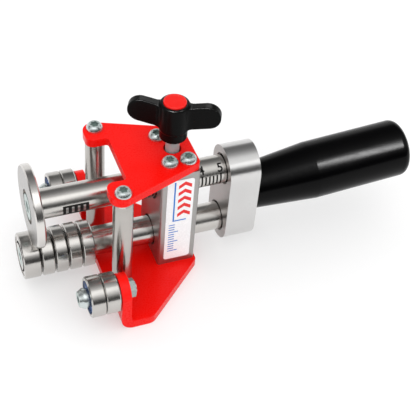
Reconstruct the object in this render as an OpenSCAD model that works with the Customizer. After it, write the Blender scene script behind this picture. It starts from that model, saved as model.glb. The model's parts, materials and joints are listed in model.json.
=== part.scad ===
// Hand bender for the edges of sheet metal. A disc and a row of ball-bearing rollers sit on
// the ends of two shafts. The shafts slide through a block that stands between two plates,
// and a wing knob clamps them at the bending depth that the scale on the upper shaft shows.
// Frame: +X runs along the shafts towards the handle, +Y to the far side and +Z up.
// The origin lies on the underside of the base plate, on the axis of the wing knob.

/* [Shafts] */
// Diameter of both guide shafts
shaft_d = 15; // [13:0.5:17]
// Width of the recess round the shafts in the faces of the block and in the yoke's front
mouth_w = 0.9; // [0.4:0.1:1.4]
// Depth of that recess
mouth_h = 2; // [1:0.5:3]
// Gap between the block and the yoke, which is the travel forwards
slide_gap = 18; // [12:1:30]
// Gap between the block and the rearmost roller, which is the travel backwards
draw_gap = 32; // [30:1:45]
// Depth to which each shaft is let into the yoke
shaft_seat = 12; // [8:0.5:13]
// Bevel on the ends of the shafts and posts
end_bevel = 0.6; // [0.2:0.1:1]

/* [Bending disc] */
// Diameter of the disc
disc_d = 42; // [36:1:46]
// Thickness of the disc
disc_t = 4.5; // [4:0.25:6]
// Distance of the disc's face behind the face of the front roller
disc_setback = 5.5; // [3:0.5:8]
// Bevel on the rim of the disc
disc_bevel = 0.7; // [0.3:0.1:1.2]
// Diameter of the recess round the disc's screw
disc_recess_d = 17.5; // [15:0.5:20]
// Depth of that recess
disc_recess = 1.8; // [1.2:0.1:2.4]
// Diameter of the bush on which the disc turns
disc_bush_d = 10.5; // [10:0.5:11]
// Diameter of the disc's screw
disc_screw_d = 8; // [6:1:8]
// Diameter of the head of the disc's screw
disc_head_d = 13; // [12.5:0.1:14.5]
// Gap between the disc and the rollers, for the sheet
sheet_gap = 0.5; // [0.3:0.1:1.5]

/* [Rollers] */
// Number of rollers
roller_count = 5; // [3:1:6]
// Outer diameter of a roller
roller_d = 24; // [22:0.5:28]
// Bore of a roller
roller_bore = 12; // [10:0.5:13]
// Width of the front roller
front_roller_b = 8.5; // [6:0.5:10]
// Width of each roller behind it
roller_b = 6; // [5.5:0.5:7]
// Thickness of a roller's rings beside the balls
roller_ring = 1.8; // [1.4:0.1:2]
// Thickness of the shims between the rollers
shim_t = 1; // [0.6:0.1:2]
// Thickness of the washer in the front roller that holds the rollers on
retainer_t = 1.8; // [1.5:0.1:3]
// Diameter of the screw that holds the rollers on
roller_screw_d = 6; // [5:1:6]
// Diameter of the head of that screw
roller_head_d = 10.4; // [9:0.2:11]
// Height of the rollers above the base plate
floor_gap = 0.5; // [0.4:0.1:3]

/* [Guide bearings] */
// Outer diameter of a guide bearing
guide_d = 20.5; // [19:0.5:22]
// Bore of a guide bearing
guide_bore = 6; // [5:0.5:7]
// Width of a guide bearing
guide_b = 7; // [6:0.5:8]
// Thickness of a guide bearing's rings beside the balls
guide_ring = 1.8; // [1.6:0.1:2.2]
// Height of the guide bearings above the base plate
guide_lift = 5.25; // [2:0.25:10]
// Thickness of the spacer between a tab and its bearings
guide_spacer = 0.8; // [0.6:0.1:3]
// Thickness of the washer under a bolt's head
guide_washer = 1.4; // [0.8:0.1:3]
// Diameter of the head of a guide bolt
guide_head_d = 10.5; // [9:0.5:11]
// Height of the head of a guide bolt
guide_head_h = 3.2; // [2.5:0.1:4]
// Width across the flats of the nuts on the guide bolts
nut_w = 8.5; // [8:0.5:10]
// Height of these nuts
nut_h = 3.6; // [2.5:0.1:5]
// Length of the guide bolts behind their nuts
bolt_out = 0.5; // [0.2:0.1:4]
// Thickness of the plates of the cages that hold the balls apart
cage_t = 0.6; // [0.4:0.1:0.8]
// Diameter of the rivets that join these plates
rivet_d = 1; // [0.6:0.1:1.1]

/* [Bearing details] */
// Depth of the grooves that the balls run in
groove = 0.35; // [0.2:0.05:0.5]
// Thickness of the shields
shield_t = 0.5; // [0.3:0.05:0.6]
// Distance of the shields behind the faces of their ring
shield_in = 0.3; // [0.1:0.05:0.4]
// Gap between a shield or cage and the rings that turn past it
ring_gap = 0.25; // [0.15:0.05:0.4]
// Bevel on the outer edges of the rings
ring_bevel = 0.5; // [0.2:0.1:0.8]

/* [Plates] */
// Thickness of the base plate and its tabs
base_t = 5; // [4:0.25:6]
// Thickness of the top plate
top_t = 4.5; // [3.5:0.25:6]
// Reach of the base plate in front of the knob's axis
base_front = 39; // [39:0.5:46]
// Reach of the base plate behind the knob's axis
base_rear = 11; // [10:0.5:14]
// Half width of the base plate at its rear edge
base_rear_half = 16; // [15:0.5:22]
// Length of the base plate's side edges before the slanted edges begin
base_side = 16.5; // [14:0.5:22]
// Inside radius of the bent tabs
bend_r = 1.2; // [0.5:0.1:2]
// Width of a tab
tab_w = 17; // [16:0.5:22]
// Gap between a tab and the post beside it
tab_gap = 0.5; // [0.4:0.1:3]
// Width of the cut that lets a tab bend
relief_w = 1.4; // [1:0.1:2]
// Half width of the top plate at its rear edge
top_rear_half = 13.5; // [12.5:0.5:15]
// Distance from a post's axis to the front edge of the top plate's ear
ear_front = 6.3; // [6:0.1:8]
// Distance from a post's axis to the outer corner of the ear
ear_side = 7.3; // [7:0.1:9]
// Distance from a post's axis to the ear's inner edge
ear_inner = 9; // [6.5:0.25:9.5]
// Distance from a post's axis back to the edge of the notch between the ears
notch_back = 4.4; // [3:0.2:7]
// Radius of the sharp outer corners of both plates
corner_r = 2.5; // [1:0.25:3]
// Radius of the ear's outer corner
ear_r = 6; // [3:0.25:6.5]
// Radius of the ear's inner corner
ear_inner_r = 4; // [2:0.25:4.5]
// Radius at the root of the notch
notch_r = 1.5; // [0.5:0.25:2.5]
// Radius of the base plate's side corners
side_r = 6; // [3:0.5:8]

/* [Block] */
// Length of the block along the shafts
block_l = 20; // [18:0.5:20]
// Height of metal above the upper bore
block_cap = 8.5; // [8.4:0.1:14]
// Thickness of the wall outside the screws
block_edge = 2.2; // [1.5:0.1:5]
// Thickness of the wall between the screws and the bores
bore_wall = 0.3; // [0.2:0.1:3]
// Radius of the block's upright edges
block_r = 1.2; // [0.5:0.1:2]

/* [Posts] */
// Diameter of the posts
post_d = 10; // [9:0.5:11]
// Distance of the posts in front of the knob's axis
post_reach = 32.4; // [31:0.2:33]
// Distance between the posts' axes
post_spread = 49; // [47:0.5:56]

/* [Screws] */
// Diameter of the frame screws
screw_d = 5; // [4:0.5:5.5]
// Diameter of the domed heads on the top plate
screw_head_d = 8.6; // [8:0.1:9.4]
// Part of a domed head's diameter that is flat on top
head_flat = 0.66; // [0.5:0.02:0.8]
// Diameter of the sunk heads in the base plate
sunk_head_d = 9.2; // [8.5:0.1:9.4]
// Height of the domed heads
screw_head_h = 2.7; // [2:0.1:3.2]
// Depth to which the frame screws enter the block and posts
screw_depth = 8; // [5:0.5:8]
// Distance between the block's screws along the shafts
screw_pitch = 9.5; // [9.5:0.1:10.5]
// Height of the upright rim of the domed heads
head_rim = 0.4; // [0.2:0.1:0.8]
// Width of the six-lobed sockets in the frame screws
socket_d = 4.3; // [3:0.1:4.5]
// Depth of all sockets
socket_h = 1.4; // [1:0.1:1.6]

/* [Yoke] */
// Thickness of the yoke
yoke_t = 16.5; // [15.5:0.5:22]
// Radius of the yoke's rounded ends
yoke_r = 12.5; // [11:0.25:15]
// Diameter of the set screws that hold the shafts in the yoke
grub_d = 5; // [4:0.5:6]
// Angle by which the handle rises from the line of the shafts
handle_tilt = 4.5; // [0:0.5:5]
// Depth of the slanted seat for the handle at its centre
handle_seat = 1.3; // [1.2:0.1:2]

/* [Handle] */
// Diameter of the handle at the yoke
handle_neck_d = 24; // [22:0.5:25]
// Diameter of the grip
handle_grip_d = 31; // [28:0.5:36]
// Length of the tapered part
handle_taper = 36; // [25:1:45]
// Length of the whole handle
handle_l = 90.5; // [75:0.5:130]
// Radius round the end of the handle
handle_end_r = 4.5; // [2:0.5:7]
// Diameter of the stud that holds the handle
handle_stud_d = 10; // [8:1:12]
// Length of the stud inside the handle
handle_stud_l = 25; // [15:1:30]
// Length of the stud inside the yoke
yoke_stud_l = 10; // [8:0.5:12]

/* [Clamp] */
// Diameter of the clamp stud
stud_d = 7; // [6:0.5:8]
// Thickness of the pad between the stud and the upper shaft
pad_t = 3; // [2:0.5:4]
// Height of the knob above the top plate
knob_gap = 8; // [4:0.5:12]
// Diameter of the hole in the top plate round the clamp stud
stud_hole_d = 8.8; // [8.6:0.1:10]
// Diameter of the knob's hub
hub_d = 14.6; // [13:0.1:17]
// Height of the hub
hub_h = 20.5; // [18:0.5:24]
// Radius round the top of the hub
hub_edge = 1.2; // [0.4:0.1:1.4]
// Height of the narrower foot of the hub
hub_foot_h = 5; // [2:0.25:5.5]
// Depth by which the foot is drawn in
hub_foot_in = 0.4; // [0.1:0.1:1]
// Depth to which the stud enters the hub
hub_stud = 12; // [8:0.5:14]
// Distance between the tips of the wings
wing_span = 45; // [40:1:60]
// Thickness of the wings
wing_t = 4.5; // [4:0.25:6]
// Height of the wings at their tips
wing_h = 12.7; // [11:0.1:14]
// Height of the wings' tips above the bottom of the hub
wing_foot = 8.2; // [6:0.1:9]
// Angle at which the wings rise from the hub
wing_rise = 12; // [0:0.5:15]
// Radius between the wings and the hub
wing_fillet = 4; // [2:0.25:6]
// Angle of the wings from the line of the shafts
wing_turn = -26; // [-90:1:90]
// Diameter of the cap in the hub
cap_d = 11.2; // [9:0.1:12]
// Depth of the cap's seat
cap_seat = 2; // [1:0.25:3]
// Rise of the domed cap above the hub
cap_rise = 1.2; // [0.5:0.1:2]

/* [Label] */
// Width of the label on the block
label_w = 14; // [10:0.5:16]
// Gap between the label and the plates
label_margin = 3.5; // [2:0.5:10]
// Thickness of the label
label_t = 0.3; // [0.2:0.05:0.5]
// Radius of the label's corners
label_r = 1.5; // [0.5:0.25:3]

/* [Fits] */
// Radial clearance of pieces that turn or slide
run_fit = 0.05; // [0.02:0.01:0.08]
// Radial clearance of pieces that are fixed together
seat_fit = 0.02; // [0.01:0.01:0.05]
// Clearance at the ends of pieces that turn
end_play = 0.15; // [0.1:0.05:0.3]

/* [Hidden] */
$fn = 64;

// Bodies of revolution
shaft_r = shaft_d / 2;
disc_r = disc_d / 2;
roller_r = roller_d / 2;
guide_r = guide_d / 2;
post_r = post_d / 2;
screw_r = screw_d / 2;

// Heights
lower_z = base_t + floor_gap + roller_r;
upper_z = lower_z + roller_r + sheet_gap + disc_r;
block_top = upper_z + shaft_r + block_cap;
top_z = block_top + top_t;
guide_z = base_t + guide_lift + guide_r;
yoke_z = (lower_z + upper_z) / 2;
knob_z = top_z + knob_gap;

// Places along the shafts
roller_pitch = roller_b + shim_t;
roller_back = -block_l / 2 - draw_gap;
roller_front = roller_back - (roller_count - 1) * roller_pitch - front_roller_b;
lower_tip = roller_front + retainer_t;
disc_front = roller_front + disc_setback;
disc_back = disc_front + disc_t;
upper_tip = disc_back + end_play;
yoke_front = block_l / 2 + slide_gap;
yoke_back = yoke_front + yoke_t;
shaft_end = yoke_front + shaft_seat;
post_x = -post_reach;
tab_front = -base_front;
tab_back = tab_front + base_t;
bend_back = tab_back + bend_r;
bend_outer = base_t + bend_r;

// Places across the shafts
screw_y = shaft_r + screw_r + bore_wall;
block_w = 2 * (screw_y + screw_r + block_edge);
post_y = post_spread / 2;
tab_y = post_y + post_r + tab_gap + tab_w / 2;
base_half = tab_y + tab_w / 2;

// Pieces of the disc's bearing
disc_web = disc_t - disc_recess;
disc_head_t = disc_recess - end_play;
bush_l = disc_web + 2 * end_play;
screw_tail = 18;
roller_head_t = 1;
tail_room = 1;

// Pieces of the guide bearings
guide_shim = 0.3;
guide_back = tab_front - guide_spacer;
guide_pitch = guide_b + guide_shim;
guide_front = guide_back - guide_b - guide_pitch;
bolt_seat = guide_front - guide_washer;
bolt_end = tab_back + nut_h + bolt_out;

// Pieces of the clamp
pad_gap = 0.2;
pad_z = upper_z + shaft_r + pad_gap;
stud_foot = pad_z + pad_t + seat_fit;

SIDES = ["near", "far"];
PLACES = ["front", "back"];
ROLLERS = [for (i = [1:roller_count]) i];

FRAME_NODES = [
    "base_plate", "top_plate", "guide_block", "near_post", "far_post", "label_plate",
    "top_block_screws", "top_post_screws", "base_block_screws", "base_post_screws",
    "guide_bolts", "guide_nuts", "guide_spacers", "guide_inner_rings", "guide_balls", "guide_cages"
];
CARRIAGE_NODES = [
    "upper_shaft", "lower_shaft", "yoke", "set_screws", "handle", "handle_stud",
    "disc_bush", "disc_screw", "roller_retainer", "roller_screw", "roller_shims",
    "roller_inner_rings", "roller_balls"
];
TURNING_NODES = [
    "bending_disc",
    for (i = ROLLERS) each [str("roller_", i), str("roller_shields_", i)],
    for (s = SIDES) for (p = PLACES) str("guide_", s, "_", p)
];
CLAMP_NODES = ["clamp_pad", "clamp_stud", "wing_knob", "knob_cap"];

RED = [0.90, 0.07, 0.05];
STEEL = [0.70, 0.69, 0.67];
BRIGHT = [0.80, 0.81, 0.82];
ZINC = [0.76, 0.80, 0.81];
ALUMINIUM = [0.80, 0.80, 0.80];
GREY = [0.58, 0.57, 0.56];
BLACK = [0.06, 0.06, 0.06];
BLUE = [0.28, 0.42, 0.66];
BRASS = [0.78, 0.62, 0.30];
WHITE = [0.95, 0.95, 0.96];

// Direction from one point of an outline to another
function towards(a, b) = (b - a) / norm(b - a);

// Plan position of point i of an outline, counted round
function spot(p, i) = let (q = p[(i + len(p)) % len(p)]) [q[0], q[1]];

// Half of the angle between the two edges that meet at point i
function half_angle(p, i) =
    acos(towards(spot(p, i), spot(p, i - 1)) * towards(spot(p, i), spot(p, i + 1))) / 2;

// Points where the rounding of point i leaves its two edges
function corner_ends(p, i) =
    let (b = spot(p, i), reach = p[i][2] / tan(half_angle(p, i)))
    p[i][2] == 0 ? [b] :
    [b + reach * towards(b, spot(p, i - 1)), b + reach * towards(b, spot(p, i + 1))];

// Centre of the rounding of point i
function corner_centre(p, i) =
    let (b = spot(p, i))
    b + p[i][2] / sin(half_angle(p, i))
        * unit(towards(b, spot(p, i - 1)) + towards(b, spot(p, i + 1)));
function unit(v) = v / norm(v);

// True where an outline that runs anticlockwise turns left
function is_outer(p, i) =
    cross(spot(p, i) - spot(p, i - 1), spot(p, i + 1) - spot(p, i)) > 0;

// Outline through points [x, y, radius], anticlockwise, with each corner rounded
module rounded_outline(p) {
    n = len(p);
    difference() {
        union() {
            polygon([for (i = [0:n - 1]) each corner_ends(p, i)]);
            for (i = [0:n - 1])
                if (p[i][2] > 0 && is_outer(p, i))
                    translate(corner_centre(p, i)) circle(r = p[i][2]);
        }
        for (i = [0:n - 1])
            if (p[i][2] > 0 && !is_outer(p, i))
                translate(corner_centre(p, i)) circle(r = p[i][2]);
    }
}

// Points of a half outline on the far side, followed by their mirror images on the near side
function both_sides(half) =
    concat(half, [for (i = [len(half) - 1:-1:0]) [half[i][0], -half[i][1], half[i][2]]]);

// Rectangle with equal round corners, centred
module rounded_rectangle(w, h, r) {
    x = w / 2;
    y = h / 2;
    rounded_outline([[x, -y, r], [x, y, r], [-x, y, r], [-x, -y, r]]);
}

// Places children so that their +Z points along +X
module along_x(x = 0, y = 0, z = 0) {
    translate([x, y, z]) rotate([0, 90, 0]) children();
}

// Places children so that their +Z points along the handle
module along_handle() {
    translate([yoke_back - handle_seat, 0, yoke_z])
        rotate([0, 90 - handle_tilt, 0]) children();
}

// Rod with a bevel at both ends
module rod(d, l, bevel) {
    r = d / 2;
    rotate_extrude() polygon([
        [0, 0], [r - bevel, 0], [r, bevel], [r, l - bevel], [r - bevel, l], [0, l]
    ]);
}

// Recess round the mouth of a shaft's hole, where the hole rises from a face at z = 0
module hole_mouth() {
    translate([0, 0, -tail_room]) cylinder(d = shaft_d + 2 * mouth_w, h = mouth_h + tail_room);
}

// Six-lobed socket that opens upwards, with its floor at z = 0
module lobe_socket(d, h) {
    lobe_r = 0.13 * d;
    linear_extrude(h) {
        circle(d = 0.78 * d);
        for (a = [0:60:300]) rotate(a) translate([d / 2 - lobe_r, 0]) circle(r = lobe_r);
    }
}

// Screw with a domed head that stands on z = 0 and a shank below it
module dome_screw(d, l, head_d, head_h, socket) {
    head_r = head_d / 2;
    flat_r = head_flat * head_r;
    dome_z = (head_h + head_rim - (head_r * head_r - flat_r * flat_r) / (head_h - head_rim)) / 2;
    dome_r = norm([head_r, head_rim - dome_z]);
    difference() {
        union() {
            translate([0, 0, -l]) cylinder(d = d, h = l);
            intersection() {
                translate([0, 0, dome_z]) sphere(r = dome_r);
                cylinder(d = head_d, h = head_h);
            }
        }
        translate([0, 0, head_h - socket_h]) lobe_socket(socket, socket_h);
    }
}

// Screw with a flat head of thickness t on z = 0 and a shank of length l below it
module flat_screw(d, l, head_d, t, socket) {
    difference() {
        union() {
            translate([0, 0, -l]) cylinder(d = d, h = l);
            cylinder(d = head_d, h = t);
        }
        translate([0, 0, t - socket_h]) lobe_socket(socket, socket_h);
    }
}

// Screw whose conical head is flush at z = 0, with a shank that rises to length l
module sunk_screw(d, l, head_d, socket) {
    cone_h = (head_d - d) / 2;
    difference() {
        union() {
            cylinder(d1 = head_d, d2 = d, h = cone_h);
            cylinder(d = d, h = l);
        }
        lobe_socket(socket, socket_h);
    }
}

// Hole for such a screw through a plate that starts at z = 0
module sunk_hole(d, l, head_d) {
    cone_h = (head_d - d) / 2;
    cylinder(d1 = head_d + 2 * seat_fit, d2 = d + 2 * seat_fit, h = cone_h);
    cylinder(d = d + 2 * seat_fit, h = l);
}

// Ring of rectangular section with z = 0 at its middle
module flat_ring(outer_d, inner_d, t) {
    difference() {
        cylinder(d = outer_d, h = t, center = true);
        cylinder(d = inner_d, h = 2 * t, center = true);
    }
}

// Middle radius of the balls, and their diameter, between two ring walls
function ball_path_r(od, bore) = (od + bore) / 4;
function ball_size(od, bore, ring) = (od - bore) / 2 - 2 * ring + 2 * groove;

// Groove of the balls, as the solid that is cut away
module ball_groove(od, bore, ring) {
    rotate_extrude() translate([ball_path_r(od, bore), 0])
        circle(d = ball_size(od, bore, ring) + 2 * run_fit);
}

// Outer ring of a ball bearing with bevelled edges
module outer_ring(od, bore, b, ring) {
    difference() {
        translate([0, 0, -b / 2]) rod(od, b, ring_bevel);
        cylinder(d = od - 2 * ring, h = 2 * b, center = true);
        ball_groove(od, bore, ring);
    }
}

// Inner ring of a ball bearing
module inner_ring(od, bore, b, ring) {
    difference() {
        cylinder(d = bore + 2 * ring, h = b, center = true);
        cylinder(d = bore + 2 * seat_fit, h = 2 * b, center = true);
        ball_groove(od, bore, ring);
    }
}

// Two shields of a ball bearing
module shields(od, bore, b, ring) {
    for (s = [-1, 1]) translate([0, 0, s * (b / 2 - shield_in - shield_t / 2)])
        flat_ring(od - 2 * ring - 2 * seat_fit, bore + 2 * ring + 2 * ring_gap, shield_t);
}

// Number of balls that leaves at least a quarter of a ball between neighbours
function ball_count(od, bore, ring) =
    floor(180 / asin(0.625 * ball_size(od, bore, ring) / ball_path_r(od, bore)));

// Places children at each ball, or half way between the balls for a shift of 0.5
module at_balls(od, bore, ring, shift = 0) {
    count = ball_count(od, bore, ring);
    for (i = [0:count - 1]) rotate((i + shift) * 360 / count)
        translate([ball_path_r(od, bore), 0, 0]) children();
}

module balls(od, bore, ring) {
    at_balls(od, bore, ring) sphere(d = ball_size(od, bore, ring));
}

// Cage of two plates with a window for each ball, joined by rivets between the balls
module cage(od, bore, ring) {
    ball_r = ball_size(od, bore, ring) / 2;
    plate_z = 0.8 * ball_r + cage_t / 2;
    window_r = 0.6 * ball_r + run_fit;
    for (s = [-1, 1]) difference() {
        translate([0, 0, s * plate_z])
            flat_ring(od - 2 * ring - 2 * ring_gap, bore + 2 * ring + 2 * ring_gap, cage_t);
        at_balls(od, bore, ring) cylinder(r = window_r, h = 4 * plate_z, center = true);
    }
    at_balls(od, bore, ring, 0.5) cylinder(d = rivet_d, h = 2 * plate_z, center = true);
}

// Places children at the frame screws of the block
module at_block_screws() {
    for (x = [-1, 1], y = [-1, 1]) translate([x * screw_pitch / 2, y * screw_y, 0]) children();
}

// Places children at the posts
module at_posts() {
    for (y = [-1, 1]) translate([post_x, y * post_y, 0]) children();
}

// Width and middle of roller i, counted from the front
function roller_width(i) = i == 1 ? front_roller_b : roller_b;
function roller_x(i) = roller_back - (roller_count - i) * roller_pitch - roller_width(i) / 2;

// Places children at the middle of roller i
module at_roller(i) {
    along_x(roller_x(i), 0, lower_z) children();
}

// Sign of a side and number of a place
function side_sign(s) = s == "near" ? -1 : 1;
function place_number(p) = p == "front" ? 0 : 1;

// Places children at the middle of the guide bearing on side s in place p
module at_guide(s, p) {
    along_x(guide_front + place_number(p) * guide_pitch + guide_b / 2, side_sign(s) * tab_y, guide_z)
        children();
}

// Places children on the axis of each guide bolt, at x
module at_bolts(x) {
    for (s = SIDES) along_x(x, side_sign(s) * tab_y, guide_z) children();
}

// Section of a tab and its bend, seen from the near side: x to the right and z up
module tab_section() {
    translate([tab_front, bend_outer]) square([base_t, guide_z + tab_w]);
    translate([bend_back, 0]) square([base_t, base_t]);
    translate([bend_back, bend_outer]) intersection() {
        difference() {
            circle(r = bend_outer);
            circle(r = bend_r);
        }
        translate([-bend_outer, -bend_outer]) square(bend_outer);
    }
}

// Front view of a tab: straight sides and a round top about the bolt
module tab_face() {
    translate([-tab_w / 2, 0]) square([tab_w, guide_z]);
    translate([0, guide_z]) circle(d = tab_w);
}

// Tab bent up from the base plate on side y, drilled for its bolt
module tab(y) {
    difference() {
        intersection() {
            translate([0, y * tab_y + tab_w / 2, 0]) rotate([90, 0, 0])
                linear_extrude(tab_w) tab_section();
            translate([tab_front, y * tab_y, 0]) rotate([90, 0, 90])
                linear_extrude(2 * base_t + bend_r) tab_face();
        }
        along_x(tab_front - tail_room, y * tab_y, guide_z)
            cylinder(d = guide_bore + 2 * seat_fit, h = base_t + 2 * tail_room);
    }
}

module base_outline() {
    rounded_outline(both_sides([
        [base_rear, base_rear_half, corner_r],
        [tab_front + base_side, base_half, side_r],
        [bend_back, base_half, 0],
        [bend_back, tab_y - tab_w / 2 - relief_w, 0],
        [tab_front, tab_y - tab_w / 2 - relief_w, corner_r]
    ]));
}

module base_plate() {
    color(RED) {
        difference() {
            linear_extrude(base_t) base_outline();
            at_block_screws() sunk_hole(screw_d, 2 * base_t, sunk_head_d);
            at_posts() sunk_hole(screw_d, 2 * base_t, sunk_head_d);
        }
        for (y = [-1, 1]) tab(y);
    }
}

module top_outline() {
    rear = block_l / 2;
    front = post_x - ear_front;
    inner = post_y - ear_inner;
    rounded_outline(both_sides([
        [rear, top_rear_half, corner_r],
        [front, post_y + ear_side, ear_r],
        [front, inner, ear_inner_r],
        [post_x + notch_back, inner, notch_r]
    ]));
}

module top_plate() {
    hole_h = 3 * top_t;
    color(RED) translate([0, 0, block_top]) difference() {
        linear_extrude(top_t) top_outline();
        cylinder(d = stud_hole_d, h = hole_h, center = true);
        at_block_screws() cylinder(d = screw_d + 2 * seat_fit, h = hole_h, center = true);
        at_posts() cylinder(d = screw_d + 2 * seat_fit, h = hole_h, center = true);
    }
}

module guide_block() {
    hole_d = screw_d + 2 * seat_fit;
    color(GREY) difference() {
        translate([0, 0, base_t]) linear_extrude(block_top - base_t)
            rounded_rectangle(block_l, block_w, block_r);
        for (z = [lower_z, upper_z]) along_x(0, 0, z) {
            cylinder(d = shaft_d + 2 * run_fit, h = 2 * block_l, center = true);
            for (s = [0, 1]) mirror([0, 0, s]) translate([0, 0, -block_l / 2]) hole_mouth();
        }
        translate([0, 0, upper_z]) cylinder(d = stud_d + 2 * run_fit, h = block_top);
        at_block_screws() translate([0, 0, block_top - screw_depth - tail_room])
            cylinder(d = hole_d, h = block_top);
        at_block_screws() cylinder(d = hole_d, h = base_t + screw_depth + tail_room);
    }
}

// Post drilled at both ends for its screws
module post(y) {
    hole_d = screw_d + 2 * seat_fit;
    color(STEEL) translate([post_x, y * post_y, 0]) difference() {
        translate([0, 0, base_t]) rod(post_d, block_top - base_t, end_bevel);
        cylinder(d = hole_d, h = base_t + screw_depth + tail_room);
        translate([0, 0, block_top - screw_depth - tail_room]) cylinder(d = hole_d, h = block_top);
    }
}

module label_plate() {
    label_h = block_top - base_t - 2 * label_margin;
    color(WHITE) translate([0, -block_w / 2, (base_t + block_top) / 2]) rotate([90, 0, 0])
        linear_extrude(label_t) rounded_rectangle(label_w, label_h, label_r);
}

// Domed frame screw through the top plate
module top_screw() {
    translate([0, 0, top_z])
        dome_screw(screw_d, top_t + screw_depth, screw_head_d, screw_head_h, socket_d);
}

// Countersunk frame screw through the base plate
module base_screw() {
    sunk_screw(screw_d, base_t + screw_depth, sunk_head_d, socket_d);
}

module top_block_screws() { color(ZINC) at_block_screws() top_screw(); }
module top_post_screws() { color(ZINC) at_posts() top_screw(); }
module base_block_screws() { color(ZINC) at_block_screws() base_screw(); }
module base_post_screws() { color(ZINC) at_posts() base_screw(); }

module guide_bolts() {
    color(ZINC) at_bolts(bolt_seat) rotate([180, 0, 0])
        dome_screw(guide_bore, bolt_end - bolt_seat, guide_head_d, guide_head_h, socket_d);
}

// Nut that stands on z = 0, with the corners of its top bevelled
module hex_nut(w, h, bore) {
    corner_d = w / cos(30);
    top_d = 0.96 * w;
    difference() {
        intersection() {
            cylinder(d = corner_d, h = h, $fn = 6);
            cylinder(d1 = top_d + 4 * h, d2 = top_d, h = h);
        }
        translate([0, 0, -h]) cylinder(d = bore, h = 3 * h);
    }
}

module guide_nuts() {
    color(ZINC) at_bolts(tab_back) hex_nut(nut_w, nut_h, guide_bore + 2 * seat_fit);
}

// Spacers on the guide bolts: behind, between and in front of the bearings
module guide_spacers() {
    spacer_d = guide_bore + 2 * guide_ring;
    bore_d = guide_bore + 2 * seat_fit;
    color(ZINC) {
        at_bolts(tab_front - guide_spacer / 2) flat_ring(spacer_d, bore_d, guide_spacer);
        at_bolts(guide_front + guide_b + guide_shim / 2) flat_ring(spacer_d, bore_d, guide_shim);
        at_bolts(guide_front - guide_washer / 2) flat_ring(spacer_d, bore_d, guide_washer);
    }
}

module guide_inner_rings() {
    color(BRIGHT) for (s = SIDES, p = PLACES) at_guide(s, p)
        inner_ring(guide_d, guide_bore, guide_b, guide_ring);
}

module guide_balls() {
    color(BRIGHT) for (s = SIDES, p = PLACES) at_guide(s, p) balls(guide_d, guide_bore, guide_ring);
}

module guide_bearing(s, p) {
    color(BRIGHT) at_guide(s, p) outer_ring(guide_d, guide_bore, guide_b, guide_ring);
}

module guide_cages() {
    color(BLUE) for (s = SIDES, p = PLACES) at_guide(s, p) cage(guide_d, guide_bore, guide_ring);
}

module upper_shaft() {
    color(STEEL) difference() {
        along_x(upper_tip, 0, upper_z) rod(shaft_d, shaft_end - upper_tip, end_bevel);
        along_x(upper_tip - tail_room, 0, upper_z)
            cylinder(d = disc_screw_d + 2 * seat_fit, h = screw_tail + 2 * tail_room);
    }
}

module lower_shaft() {
    color(STEEL) difference() {
        union() {
            along_x(roller_back, 0, lower_z) rod(shaft_d, shaft_end - roller_back, end_bevel);
            along_x(lower_tip, 0, lower_z)
                cylinder(d = roller_bore, h = roller_back - lower_tip + shaft_d);
        }
        along_x(lower_tip - tail_room, 0, lower_z)
            cylinder(d = roller_screw_d + 2 * seat_fit, h = screw_tail + 2 * tail_room);
    }
}

// Front view of the yoke
module yoke_face() {
    for (z = [lower_z, upper_z]) translate([0, z]) circle(r = yoke_r);
    translate([-yoke_r, lower_z]) square([2 * yoke_r, upper_z - lower_z]);
}

module yoke() {
    color(ALUMINIUM) difference() {
        translate([yoke_front, 0, 0]) rotate([90, 0, 90]) linear_extrude(yoke_t) yoke_face();
        for (z = [lower_z, upper_z]) {
            along_x(yoke_front - shaft_seat, 0, z)
                cylinder(d = shaft_d + 2 * seat_fit, h = 2 * shaft_seat);
            along_x(yoke_front, 0, z) hole_mouth();
            translate([yoke_front + shaft_seat / 2, 0, z]) rotate([-90, 0, 0])
                cylinder(d = grub_d + 2 * seat_fit, h = 2 * yoke_r);
        }
        along_handle() cylinder(d = handle_neck_d + 2 * seat_fit, h = yoke_t);
        along_handle() translate([0, 0, -yoke_stud_l])
            cylinder(d = handle_stud_d + 2 * seat_fit, h = yoke_t);
    }
}

// Set screws that enter the yoke from the far side and press on the shafts
module set_screws() {
    grub_l = yoke_r - shaft_r - seat_fit;
    sunk = 0.8;
    color(GREY) for (z = [lower_z, upper_z])
        translate([yoke_front + shaft_seat / 2, shaft_r + seat_fit, z]) rotate([-90, 0, 0]) difference() {
            cylinder(d = grub_d, h = grub_l - sunk);
            translate([0, 0, grub_l - sunk - socket_h]) cylinder(d = grub_d / 2, h = 2 * socket_h, $fn = 6);
        }
}

// Half section of the handle: radius to the right, length upwards
module handle_section() {
    neck = handle_neck_d / 2;
    grip = handle_grip_d / 2;
    difference() {
        rounded_outline([
            [0, 0, 0], [neck, 0, 0], [grip, handle_taper, 0], [grip, handle_l, handle_end_r], [0, handle_l, 0]
        ]);
        translate([-handle_stud_d, -handle_stud_l])
            square([handle_stud_d + handle_stud_d / 2 + seat_fit, 2 * handle_stud_l]);
    }
}

module handle() { color(BLACK) along_handle() rotate_extrude() handle_section(); }

module handle_stud() {
    color(ZINC) along_handle() translate([0, 0, tail_room - yoke_stud_l])
        rod(handle_stud_d, handle_stud_l + yoke_stud_l - 2 * tail_room, end_bevel);
}

module bending_disc() {
    color(BRIGHT) along_x(disc_front, 0, upper_z) difference() {
        rod(disc_d, disc_t, disc_bevel);
        translate([0, 0, -disc_t]) cylinder(d = disc_bush_d + 2 * run_fit, h = 3 * disc_t);
        translate([0, 0, -disc_recess]) cylinder(d = disc_recess_d, h = 2 * disc_recess);
    }
}

module disc_bush() {
    color(BRASS) along_x(upper_tip - bush_l / 2, 0, upper_z)
        flat_ring(disc_bush_d, disc_screw_d + 2 * seat_fit, bush_l);
}

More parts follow.
